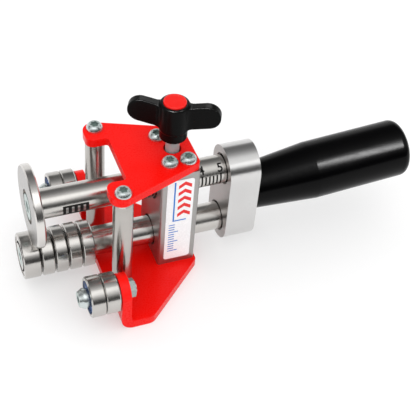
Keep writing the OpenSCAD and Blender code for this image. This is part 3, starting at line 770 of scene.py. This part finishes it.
@dataclass
class SlideBlock:
    """The grey block with its label, and the posts beside it."""

    edge_mm: float = 0.35
    edge_steps: int = 2
    print_mm: float = 0.02
    line_w_mm: float = 0.8
    line_x_mm: float = -3.0
    line_z_mm: float = 36.4
    line_foot_mm: float = 7.2
    line_margin_mm: float = 1.0
    chevron_x_mm: float = 2.3
    chevron_w_mm: float = 6.8
    chevron_z_mm: float = 39.6
    chevron_pitch_mm: float = 4.8
    chevron_count: int = 5
    chevron_rise_mm: float = 2.2
    chevron_stroke_mm: float = 2.3
    tick_x_mm: float = -5.2
    tick_z_mm: float = 14.5
    tick_w_mm: float = 0.6
    tick_pitch_mm: float = 1.7
    tick_count: int = 12
    ticks_per_long: int = 4
    long_mm: float = 5.2
    short_mm: float = 3.2

    def _strip(self, x: float, z: float, w: float, h: float) -> Piece:
        """Models one printed strip on the label.

        Args:
            x: Middle of the strip along the shafts.
            z: Height of its middle.
            w: Width.
            h: Height.

        Returns:
            The strip, as a thin closed plate.
        """
        face_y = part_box("label_plate")[0].y
        Bench.clear()
        bpy.ops.mesh.primitive_plane_add(size=1.0, rotation=(math.radians(90.0), 0.0, 0.0),
                                         location=(x * MM, face_y, z * MM))
        strip = bpy.context.object
        strip.scale = (w * MM, h * MM, 1.0)
        Bench.settle(strip, "strip")
        with Bench.editing(strip):
            bpy.ops.mesh.extrude_region_move(
                TRANSFORM_OT_translate={"value": (0.0, -self.print_mm * MM, 0.0)})
            bpy.ops.mesh.select_all(action="SELECT")
            bpy.ops.mesh.normals_make_consistent(inside=False)
        return strip

    def _chevrons(self) -> list[Piece]:
        """Models the arrow marks from a strip whose middle is drawn up.

        Returns:
            The arrow marks, one above the other.
        """
        middle = self.chevron_x_mm * MM
        mark = self._strip(self.chevron_x_mm, self.chevron_z_mm, self.chevron_w_mm, self.chevron_stroke_mm)
        with Bench.editing(mark, Element.EDGE):
            bpy.ops.mesh.bisect(plane_co=(middle, 0.0, 0.0), plane_no=(1.0, 0.0, 0.0))
            Bench.pick(mark, lambda place: abs(place.x - middle) < NEAR)
            bpy.ops.transform.translate(value=(0.0, 0.0, self.chevron_rise_mm * MM))
        return Bench.row(mark, [(0.0, 0.0, i * self.chevron_pitch_mm) for i in range(self.chevron_count)])

    def _margin(self) -> Piece:
        """Models the margin line from a strip whose lower end is drawn out to the side.

        Returns:
            The line with its foot.
        """
        low = self.line_z_mm - self.line_w_mm
        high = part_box("label_plate")[1].z / MM - self.line_margin_mm
        bend = self.line_z_mm * MM
        line = self._strip(self.line_x_mm, (low + high) / 2, self.line_w_mm, high - low)
        with Bench.editing(line, Element.EDGE):
            bpy.ops.mesh.bisect(plane_co=(0.0, 0.0, bend), plane_no=(0.0, 0.0, 1.0))
            Bench.pick(line, lambda place: place.x > self.line_x_mm * MM and place.z < bend + NEAR)
            bpy.ops.mesh.extrude_region_move(
                TRANSFORM_OT_translate={"value": ((self.line_foot_mm - self.line_w_mm) * MM, 0.0, 0.0)})
        return line

    def _ticks(self) -> list[Piece]:
        """Models the lines of the short scale.

        Returns:
            The lines, long ones and short ones.
        """
        ticks = []
        for length, is_long in ((self.long_mm, True), (self.short_mm, False)):
            tick = self._strip(self.tick_x_mm + length / 2, self.tick_z_mm, length, self.tick_w_mm)
            places = [i for i in range(self.tick_count) if (i % self.ticks_per_long == 0) == is_long]
            ticks += Bench.row(tick, [(0.0, 0.0, i * self.tick_pitch_mm) for i in places])
        return ticks

    def make(self, paints: Paints) -> None:
        """Builds the block, prints its label and dresses the posts.

        Args:
            paints: The materials.
        """
        block = Bench.soft_copy("guide_block", "ground_block", self.edge_mm, self.edge_steps)
        paints.clothe(block, BLOCK_GREY)
        paints.dress("label_plate", LABEL_WHITE)
        prints = (
            (Bench.unite([self._margin(), *self._ticks()], "label_blue_print"), INK_BLUE),
            (Bench.unite(self._chevrons(), "label_red_print"), INK_RED),
        )
        for piece, ink in prints:
            paints.clothe(piece, ink)
            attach(piece, "frame")
        for post in ("near_post", "far_post"):
            paints.dress(post, POST_STEEL.about(post, f"{post}_steel", ALONG_Z))


@dataclass(frozen=True)
class Socket:
    """A six-lobed socket in a screw's head.

    Its place is the middle of its mouth, and its way is the direction in which it opens.
    """

    mouth_mm: Point
    way: Point
    radius_mm: float
    depth_mm: float = 1.4
    slack_mm: float = 0.05

    def reach(self, place: Vector) -> tuple[float, Vector]:
        """Measures a place from the socket.

        Args:
            place: The place, in metres.

        Returns:
            Its distance out of the mouth, and its offset from the socket's axis, in millimetres.
        """
        offset = place / MM - Vector(self.mouth_mm)
        along = offset.dot(Vector(self.way))
        return along, offset - along * Vector(self.way)

    def holds(self, place: Vector) -> bool:
        """Says whether a place, in metres, lies on the socket's floor."""
        along, across = self.reach(place)
        return abs(along + self.depth_mm) < self.slack_mm and across.length < self.radius_mm


@dataclass
class Fasteners:
    """Screws, bolts, nuts and spacers of the frame, the disc and the rollers."""

    block_screw_mm: Span = (4.75, 10.3)
    frame_socket_mm: float = 2.15
    disc_socket_mm: float = 3.44
    roller_socket_mm: float = 2.58
    smooth_deg: float = 38.0
    flat_normal: float = 0.97
    bolt_head_mm: Span = (4.3, 2.7)
    bolt_fullness: float = 0.55

    def _fill(self, bolts: Piece, sockets: list[Socket]) -> None:
        """Draws the domed heads of bolts out to flat pan heads.

        Args:
            bolts: The bolts.
            sockets: The sockets in their heads.
        """
        radius, height = self.bolt_head_mm
        for vert in bolts.data.vertices:
            for socket in sockets:
                along, across = socket.reach(vert.co)
                is_dome = -height < along < socket.slack_mm
                if is_dome and socket.radius_mm + socket.slack_mm < across.length < radius:
                    vert.co += across.normalized() * (radius - across.length) * self.bolt_fullness * MM

    def _plated(self, paints: Paints, node: str, finish: Finish, sockets: list[Socket],
                full: bool = False) -> None:
        """Copies screws from a CAD node, dulls their flat tops, and paints shade on the floors of their
        sockets.

        Args:
            paints: The materials.
            node: The node.
            finish: Finish of the screws.
            sockets: Their sockets.
            full: Whether their heads are drawn out to pan heads.
        """
        screws = Bench.node_copy(node, f"plated_{node}")
        if full:
            self._fill(screws, sockets)
        Bench.smooth(screws, self.smooth_deg)
        paints.clothe(screws, finish)
        paints.add(screws, FLAT_ZINC)
        paints.add(screws, SOCKET_SHADE_ZINC)
        # Material indices: plain zinc, the dull flat tops, and the painted shade on the socket floors
        plain, flat, floor = range(3)
        way = Vector(sockets[0].way)
        for face in screws.data.polygons:
            face.material_index = flat if face.normal.dot(way) > self.flat_normal else plain
            if any(socket.holds(face.center) for socket in sockets):
                face.material_index = floor

    def _upright(self, node: str, x: float, y: float) -> Socket:
        """Gives the socket of one of a node's upright screws.

        Args:
            node: The node.
            x: Place of the screw along the shafts.
            y: Its place across them.

        Returns:
            The socket.
        """
        return Socket((x, y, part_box(node)[1].z / MM), UP, self.frame_socket_mm)

    @staticmethod
    def _level(node: str, axis: Point, radius_mm: float) -> Socket:
        """Gives the socket of one of a node's level screws.

        Args:
            node: The node.
            axis: A point on the screw's axis.
            radius_mm: Radius of the socket.

        Returns:
            The socket.
        """
        return Socket((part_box(node)[0].x / MM, axis[1], axis[2]), FRONT, radius_mm)

    def make(self, paints: Paints) -> None:
        """Builds the screws with sockets, and dresses the other fasteners.

        Args:
            paints: The materials.
        """
        block_x, block_y = self.block_screw_mm
        block = [self._upright("top_block_screws", x, y)
                 for x in (-block_x, block_x) for y in (-block_y, block_y)]
        posts = [self._upright("top_post_screws", *axis_mm(post, ALONG_Z)[:2])
                 for post in ("near_post", "far_post")]
        bolts = [self._level("guide_bolts", axis_mm(guide), self.frame_socket_mm)
                 for guide in ("guide_near_front", "guide_far_front")]
        disc = self._level("disc_screw", axis_mm("upper_shaft"), self.disc_socket_mm)
        roller = self._level("roller_screw", axis_mm("lower_shaft"), self.roller_socket_mm)
        self._plated(paints, "top_block_screws", ZINC_STEEL, block)
        self._plated(paints, "top_post_screws", ZINC_STEEL, posts)
        self._plated(paints, "guide_bolts", ZINC_STEEL, bolts, full=True)
        self._plated(paints, "disc_screw", FLAT_ZINC, [disc])
        self._plated(paints, "roller_screw", FLAT_ZINC, [roller])
        paints.dress("base_block_screws base_post_screws guide_spacers", ZINC_STEEL)
        paints.dress("guide_nuts", NUT_ZINC)


@dataclass
class GuideBearings:
    """The two pairs of bearings that run along the sheet."""

    sides: tuple[str, ...] = ("near", "far")

    def make(self, paints: Paints) -> None:
        """Dresses rings, balls and cages.

        Args:
            paints: The materials.
        """
        for side in self.sides:
            front = f"guide_{side}_front"
            paints.dress(f"{front} guide_{side}_back", BEARING_STEEL.about(front, f"{side}_guide_steel"))
        paints.dress("guide_inner_rings guide_balls", BEARING_STEEL)
        paints.dress("guide_cages", CAGE_BLUE)


@dataclass
class FrontRollers:
    """The row of rollers on the lower shaft."""

    front: int = 1
    others: tuple[int, ...] = (2, 3, 4, 5)

    def make(self, paints: Paints) -> None:
        """Dresses the rollers and what holds them.

        Args:
            paints: The materials.
        """
        steel = BEARING_STEEL.about("lower_shaft", "roller_steel")
        paints.dress(f"roller_{self.front} roller_shields_{self.front}", steel)
        for number in self.others:
            paints.dress(f"roller_{number}", steel)
            paints.dress(f"roller_shields_{number}", SHIELD_STEEL)
        paints.dress("roller_retainer roller_inner_rings roller_balls", steel)
        # The shims are painted near black: painted shade in the gaps between the rollers
        paints.dress("roller_shims", DARK_STEEL)


@dataclass
class BendingHead:
    """The disc with its bush."""

    edge_mm: float = 0.1
    edge_steps: int = 2
    face_normal: float = 0.95

    def make(self, paints: Paints) -> None:
        """Builds the disc, with painted shade on its face and a painted highlight on its ground rim, and
        dresses its bush.

        Args:
            paints: The materials.
        """
        disc = Bench.soft_copy("bending_disc", "turned_disc", self.edge_mm, self.edge_steps)
        paints.clothe(disc, DISC_STEEL.about("upper_shaft"))
        paints.add(disc, RIM_STEEL.about("upper_shaft"))
        # Faces that look along the shafts get the darker copy, the rest the lighter copy of the rim
        for face in disc.data.polygons:
            face.material_index = int(abs(face.normal.x) < self.face_normal)
        paints.dress("disc_bush", BRASS)


@dataclass
class Shafts:
    """The two shafts and the marks cut into the upper one."""

    mark_mm: float = 0.02
    lift_mm: float = 0.002
    arc_steps: int = 10
    zero_x_mm: float = -25.5
    tick_pitch_mm: float = 2.0
    ticks_per_digit: int = 5
    digits: str = "012345"
    tick_w_mm: float = 0.9
    short_deg: Span = (-21.0, 22.0)
    long_deg: Span = (-32.0, 27.0)
    digit_deg: float = 51.0
    digit_size_mm: float = 6.486
    digit_bold_mm: float = 0.12
    digit_cuts: int = 16
    patch_x_mm: Span = (-57.2, -44.2)
    patch_deg: Span = (-31.0, 18.0)
    bar_x_mm: float = -55.1
    bar_pitch_mm: float = 2.9
    bar_count: int = 4
    bar_w_mm: float = 1.2
    bar_deg: Span = (-22.0, 10.0)
    bar_mm: float = 0.01
    axis_z_mm: float = field(default_factory=lambda: axis_mm("upper_shaft")[2])

    @property
    def radius_mm(self) -> float:
        """Gives the radius of the upper shaft."""
        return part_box("upper_shaft")[1].z / MM - self.axis_z_mm

    def _arc(self, x: float, w: float, span: Span, lift: float, t: float) -> Piece:
        """Models a thin strip that lies round the near side of the upper shaft.

        Args:
            x: Middle of the strip along the shaft.
            w: Width along the shaft.
            span: Angles above the horizontal at which it starts and ends.
            lift: Height of its underside above the shaft.
            t: Its thickness.

        Returns:
            The strip.
        """
        start, end = (math.radians(angle) for angle in span)
        middle = (self.radius_mm + lift + t / 2) * MM
        centre = Vector((0.0, 0.0, self.axis_z_mm * MM))
        Bench.clear()
        bpy.ops.mesh.primitive_plane_add(size=1.0, location=(x * MM, -middle, centre.z))
        strip = bpy.context.object
        strip.scale = (w * MM, t * MM, 1.0)
        Bench.settle(strip, "strip")
        turn = Matrix.Rotation(-start, 4, "X")
        strip.data.transform(Matrix.Translation(centre) @ turn @ Matrix.Translation(-centre))
        with Bench.editing(strip):
            bpy.ops.mesh.spin(steps=self.arc_steps, angle=end - start, center=centre, axis=(1.0, 0.0, 0.0))
            bpy.ops.mesh.select_all(action="SELECT")
            bpy.ops.mesh.remove_doubles(threshold=FINE_MERGE)
            bpy.ops.mesh.normals_make_consistent(inside=False)
        return strip

    def _ticks(self) -> Piece:
        """Models the scale's lines, long ones at the digits.

        Returns:
            All lines as one object.
        """
        count = (len(self.digits) - 1) * self.ticks_per_digit + 1
        ticks = []
        for span, is_long in ((self.long_deg, True), (self.short_deg, False)):
            tick = self._arc(self.zero_x_mm, self.tick_w_mm, span, self.lift_mm, self.mark_mm)
            places = [i for i in range(count) if (i % self.ticks_per_digit == 0) == is_long]
            ticks += Bench.row(tick, [(i * self.tick_pitch_mm, 0.0, 0.0) for i in places])
        return Bench.unite(ticks, "scale_ticks")

    def _digit(self, text: str, x: float) -> Piece:
        """Models one digit and lays it round the shaft.

        Args:
            text: The digit.
            x: Its middle along the shaft.

        Returns:
            The digit.
        """
        Bench.clear()
        bpy.ops.object.text_add()
        letter = bpy.context.object.data
        letter.body = text
        letter.align_x = "CENTER"
        letter.align_y = "CENTER"
        letter.size = self.digit_size_mm * MM
        letter.extrude = self.mark_mm / 2 * MM
        letter.offset = self.digit_bold_mm * MM
        bpy.ops.object.convert(target="MESH")
        digit = bpy.context.object
        with Bench.editing(digit, Element.VERT):
            bpy.ops.mesh.remove_doubles(threshold=FINE_MERGE)
        low = min(vert.co.y for vert in digit.data.vertices)
        high = max(vert.co.y for vert in digit.data.vertices)
        for i in range(1, self.digit_cuts):
            height = low + (high - low) * i / self.digit_cuts
            with Bench.editing(digit, Element.VERT):
                bpy.ops.mesh.bisect(plane_co=(0.0, height, 0.0), plane_no=(0.0, 1.0, 0.0))
        with Bench.editing(digit, Element.VERT):
            bpy.ops.mesh.dissolve_degenerate(threshold=FINE_MERGE)
        reach = (self.radius_mm + self.lift_mm + self.mark_mm / 2) * MM
        for vert in digit.data.vertices:
            angle = math.radians(self.digit_deg) + (vert.co.y - (low + high) / 2) / reach
            radius = reach + vert.co.z
            rise = self.axis_z_mm * MM + radius * math.sin(angle)
            vert.co = (vert.co.x + x * MM, -radius * math.cos(angle), rise)
        return digit

    def _scale_digits(self) -> Piece:
        """Models the scale's digits.

        Returns:
            All digits as one object.
        """
        step = self.tick_pitch_mm * self.ticks_per_digit
        digits = [self._digit(text, self.zero_x_mm + i * step) for i, text in enumerate(self.digits)]
        return Bench.unite(digits, "scale_digits")

    def _patch(self) -> Piece:
        """Models the dark patch near the front of the shaft.

        Returns:
            The patch.
        """
        first, last = self.patch_x_mm
        patch = self._arc((first + last) / 2, last - first, self.patch_deg, self.lift_mm, self.mark_mm)
        return Bench.settle(patch, "etched_patch")

    def _bars(self) -> Piece:
        """Models the bright bars on the patch.

        Returns:
            All bars as one object.
        """
        bar = self._arc(self.bar_x_mm, self.bar_w_mm, self.bar_deg, self.mark_mm, self.bar_mm)
        bars = Bench.row(bar, [(i * self.bar_pitch_mm, 0.0, 0.0) for i in range(self.bar_count)])
        return Bench.unite(bars, "etched_bars")

    def make(self, paints: Paints) -> None:
        """Dresses the shafts, and cuts the scale and the dark patch.

        Args:
            paints: The materials.
        """
        for node in ("upper_shaft", "lower_shaft"):
            paints.dress(node, SHAFT_STEEL.about(node, f"{node}_steel"))
        marks = (
            (self._scale_digits(), INK_BLACK),
            (self._patch(), INK_BLACK),
            (self._bars(), SHIELD_STEEL),
            (self._ticks(), INK_BLACK),
        )
        for piece, finish in marks:
            paints.clothe(piece, finish)
            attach(piece, "carriage")


@dataclass
class Grip:
    """The yoke with its set screws, and the handle."""

    edge_mm: float = 0.55
    shaded_face_normal: float = -0.95

    def make(self, paints: Paints) -> None:
        """Builds the yoke, with painted shade on its front face, and dresses the handle.

        Args:
            paints: The materials.
        """
        yoke = Bench.soft_copy("yoke", "satin_yoke", self.edge_mm)
        paints.clothe(yoke, YOKE_ALUMINIUM)
        paints.add(yoke, MILLED_AND_SHADED_YOKE_FACE.about("yoke"))
        # Faces that look to the front get the darker copy: painted shade on the yoke's front face
        for face in yoke.data.polygons:
            face.material_index = int(face.normal.x < self.shaded_face_normal)
        paints.dress("set_screws", DARK_STEEL)
        paints.dress("handle", HANDLE_BLACK)
        paints.dress("handle_stud", ZINC_STEEL)


@dataclass
class Clamp:
    """The wing knob with its cap, stud and pad."""

    grain_mm: float = 0.25
    rub: float = 0.5
    rub_count: int = 22
    cap_sides: int = 64
    cap_round_mm: float = 0.7
    cap_round_steps: int = 5
    cap_steps_mm: tuple[Span, ...] = ((1.2, 0.12), (1.6, 0.08))

    def _cap(self) -> Piece:
        """Models the cap from a round blank: its edge is rounded, and its top is raised to a low crown.

        Returns:
            The cap.
        """
        low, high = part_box("knob_cap")
        radius = (high.x - low.x) / 2
        top = high.z - sum(rise for _, rise in self.cap_steps_mm) * MM
        flat_r = radius - self.cap_round_mm * MM
        Bench.clear()
        bpy.ops.mesh.primitive_cylinder_add(vertices=self.cap_sides, radius=radius, depth=top - low.z,
                                            location=(0.0, 0.0, (top + low.z) / 2))
        cap = Bench.settle(bpy.context.object, "press_cap")
        with Bench.editing(cap, Element.EDGE):
            Bench.pick(cap, lambda place: place.z > top - NEAR)
            bpy.ops.mesh.bevel(offset=self.cap_round_mm * MM, segments=self.cap_round_steps, affect="EDGES")
            Bench.pick(cap, lambda place: place.z > top - NEAR and place.xy.length < flat_r + NEAR)
            for width, rise in self.cap_steps_mm:
                bpy.ops.mesh.inset(thickness=width * MM)
                bpy.ops.transform.translate(value=(0.0, 0.0, rise * MM))
        Bench.smooth(cap)
        return Bench.stand_for(cap, "knob_cap")

    def _knob(self) -> Piece:
        """Models the knob from its CAD node, meshed evenly and rubbed down until its edges are moulded round.

        Returns:
            The knob.
        """
        knob = Bench.node_copy("wing_knob", "moulded_knob")
        Bench.modify(knob, "REMESH", mode="VOXEL", voxel_size=self.grain_mm * MM)
        Bench.modify(knob, "SMOOTH", factor=self.rub, iterations=self.rub_count)
        Bench.take(knob)
        bpy.ops.object.shade_smooth()
        return knob

    def make(self, paints: Paints) -> None:
        """Builds the knob and its cap, and dresses what they turn.

        Args:
            paints: The materials.
        """
        paints.clothe(self._knob(), KNOB_BLACK)
        paints.clothe(self._cap(), CAP_RED)
        paints.dress("clamp_stud", STUD_ZINC)
        paints.dress("clamp_pad", BRASS)


@dataclass(frozen=True)
class Lamp:
    """A soft box: where it hangs, what it points at, its size and brightness, and which way its height runs.

    A lamp that names pieces or nodes, in the field called only, lights nothing else.
    A lamp that doesn't show leaves no gleam in metal.
    """

    name: str
    place: Point
    aim: Point
    width: float
    height: float
    radiance: float
    along: Point = UP
    only: tuple[str, ...] = ()
    shows: bool = True

    def hang(self) -> None:
        """Makes the lamp."""
        data = bpy.data.lights.new(self.name, "AREA")
        data.shape = "RECTANGLE"
        data.size = self.width
        data.size_y = self.height
        data.energy = self.radiance * math.pi * self.width * self.height
        lamp = bpy.data.objects.new(self.name, data)
        bpy.context.scene.collection.objects.link(lamp)
        back = (Vector(self.place) - Vector(self.aim)).normalized()
        across = Vector(self.along).cross(back).normalized()
        turn = Matrix((across, back.cross(across), back)).transposed()
        lamp.matrix_world = Matrix.Translation(self.place) @ turn.to_4x4()
        lamp.visible_glossy = self.shows
        if self.only:
            pieces = bpy.data.collections.new(f"{self.name}_pieces")
            for name in self.only:
                pieces.objects.link(frame["nodes"].get(name) or bpy.data.objects[name])
            lamp.light_linking.receiver_collection = pieces


# Points that lamps are aimed at, the way the streak on the handle runs, and the black pieces that show it
HEAD: Point = (0.0, 0.0, 0.03)
HANDLE: Point = (0.10, 0.0, 0.05)
KNOB: Point = (0.0, 0.0, 0.09)
STREAK: Point = (0.12, -0.15, -0.16)
BLACKS = ("handle", "moulded_knob")

LAMPS = (
    Lamp("overhead_box", (-0.20, -0.36, 0.75), (-0.02, 0.0, 0.03), 0.75, 0.55, 0.7),
    Lamp("back_box", (-0.35, 0.5, 0.6), HEAD, 0.5, 0.4, 0.4),
    Lamp("front_fill", (-0.05, -0.90, 0.45), HEAD, 0.9, 0.5, 0.8, shows=False),
    Lamp("yoke_box", (0.29, -0.53, 0.53), (0.036, 0.0, 0.05), 0.30, 0.26, 0.6, only=("satin_yoke",)),
    Lamp("handle_strip", (0.365, -0.44, 0.61), HANDLE, 0.09, 0.30, 62.0, STREAK, BLACKS),
    Lamp("handle_glow", (0.36, -0.36, 0.67), HANDLE, 0.18, 0.32, 6.5, STREAK, BLACKS),
    Lamp("knob_strip", (-0.32, -0.36, 0.68), KNOB, 0.40, 0.10, 300.0, only=("moulded_knob",)),
    Lamp("knob_box", (0.24, 0.52, 0.64), KNOB, 0.40, 0.30, 6.0, only=("moulded_knob",)),
)


@dataclass
class Studio:
    """Floor, lamps, surroundings and camera."""

    floor_size: float = 6.0
    floor_drop: float = 0.0002
    floor_colour: Colour = (0.60, 0.60, 0.60)
    floor_rough: float = 0.9
    floor_specular: float = 0.1
    floor_glow: float = 0.37
    ambient: Colour = (1.07, 1.07, 1.07)
    backdrop: Colour = (1.0, 1.0, 1.0)
    azimuth_deg: float = -24.44
    elevation_deg: float = 44.32
    roll_deg: float = 5.79
    distance_mm: float = 529.7
    target_mm: Point = (22.4, 0.0, 23.93)
    focal_px: float = 1000.0
    image_px: float = 416.0
    sensor: float = 36.0
    clip: Span = (0.01, 50.0)
    bands: tuple[Span, ...] = (
        (-180.0, 1.0), (-68.0, 0.95), (-60.0, 0.22), (-45.0, 0.14), (-26.0, 0.22), (-13.0, 0.34),
        (0.0, 0.60), (12.0, 0.90), (38.0, 1.0), (48.0, 0.85), (58.0, 0.48), (68.0, 0.14), (77.0, 0.05),
        (90.0, 0.05), (96.0, 0.9), (180.0, 1.0))

    def _floor(self) -> None:
        """Lays a pale floor that keeps the object's shadow, and glows for the rays that show a background."""
        Bench.clear()
        bpy.ops.mesh.primitive_plane_add(size=self.floor_size, location=(0.0, 0.0, -self.floor_drop))
        floor = Bench.settle(bpy.context.object, "floor")
        material = bpy.data.materials.new("pale_floor")
        material.use_nodes = True
        wiring = Wiring(material.node_tree)
        shader = material.node_tree.nodes["Principled BSDF"]
        wiring.feed(shader.inputs["Base Color"], self.floor_colour)
        wiring.feed(shader.inputs["Roughness"], self.floor_rough)
        wiring.feed(shader.inputs["Specular IOR Level"], self.floor_specular)
        path = wiring.add("ShaderNodeLightPath").outputs
        shown = wiring.calc("ADD", path["Is Camera Ray"], path["Is Glossy Ray"], clamp=True)
        shown = wiring.calc("ADD", shown, path["Is Transmission Ray"], clamp=True)
        glow = wiring.add("ShaderNodeEmission")
        wiring.join(wiring.calc("MULTIPLY", shown, self.floor_glow), glow.inputs["Strength"])
        both = wiring.add("ShaderNodeAddShader")
        wiring.join(shader.outputs["BSDF"], both.inputs[0])
        wiring.join(glow.outputs["Emission"], both.inputs[1])
        wiring.join(both.outputs["Shader"], material.node_tree.nodes["Material Output"].inputs["Surface"])
        floor.data.materials.append(material)

    def _bands(self, wiring: Wiring) -> Plug:
        """Makes the light and dark bands along the shafts that polished metal shows.

        Args:
            wiring: The world's wiring.

        Returns:
            The socket of their colour, by the angle from straight up towards the near side.
        """
        split = wiring.add("ShaderNodeSeparateXYZ")
        wiring.join(wiring.add("ShaderNodeTexCoord").outputs["Generated"], split.inputs["Vector"])
        near = wiring.calc("MULTIPLY", split.outputs["Y"], -1.0)
        angle = wiring.calc("ARCTAN2", near, split.outputs["Z"])
        ramp = wiring.add("ShaderNodeValToRGB")
        stops = ramp.color_ramp.elements
        while len(stops) < len(self.bands):
            stops.new(stops[-1].position)
        for stop, (degrees, level) in zip(stops, self.bands):
            stop.position = 0.5 + math.radians(degrees) / math.tau
            stop.color = (level, level, level, 1.0)
        wiring.join(wiring.stretch(angle, (-math.pi, math.pi)), ramp.inputs["Fac"])
        return ramp.outputs["Color"]

    def _surroundings(self) -> None:
        """Makes a white background, even light, and the bands for glossy metal."""
        world = bpy.data.worlds.new("studio")
        bpy.context.scene.world = world
        world.use_nodes = True
        wiring = Wiring(world.node_tree)
        path = wiring.add("ShaderNodeLightPath").outputs
        shiny = wiring.calc("ADD", path["Is Glossy Ray"], path["Is Transmission Ray"], clamp=True)
        lit = wiring.mix(shiny, self.ambient, self._bands(wiring))
        shown = wiring.mix(path["Is Camera Ray"], lit, self.backdrop)
        wiring.join(shown, world.node_tree.nodes["Background"].inputs["Color"])

    def _camera(self) -> None:
        """Sets the camera at the photograph's angle."""
        turn, rise, roll = (math.radians(v) for v in (self.azimuth_deg, self.elevation_deg, self.roll_deg))
        back = Vector((math.sin(turn) * math.cos(rise), -math.cos(turn) * math.cos(rise), math.sin(rise)))
        right = Vector((math.cos(turn), math.sin(turn), 0.0))
        up = back.cross(right)
        across = math.cos(roll) * right + math.sin(roll) * up
        above = -math.sin(roll) * right + math.cos(roll) * up
        data = bpy.data.cameras.new("camera")
        data.sensor_width = self.sensor
        data.lens = self.focal_px / self.image_px * self.sensor
        data.clip_start, data.clip_end = self.clip
        camera = bpy.data.objects.new("camera", data)
        bpy.context.scene.collection.objects.link(camera)
        place = (Vector(self.target_mm) + back * self.distance_mm) * MM
        turned = Matrix((across, above, back)).transposed()
        camera.matrix_world = Matrix.Translation(place) @ turned.to_4x4()
        bpy.context.scene.camera = camera

    def make(self) -> None:
        """Builds the studio."""
        self._floor()
        self._surroundings()
        for lamp in LAMPS:
            lamp.hang()
        self._camera()
        bpy.context.scene.view_settings.view_transform = "Standard"


def main() -> None:
    """Builds every sub-assembly, then the studio."""
    logging.basicConfig(level=logging.INFO, format="%(name)s: %(message)s")
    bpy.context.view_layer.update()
    Bench.clear()
    paints = Paints()
    assemblies = (Plates(), SlideBlock(), Fasteners(), GuideBearings(), FrontRollers(), BendingHead(),
                  Shafts(), Grip(), Clamp())
    for assembly in assemblies:
        assembly.make(paints)
    Studio().make()
    Bench.clear()


if __name__ == "__main__":
    main()
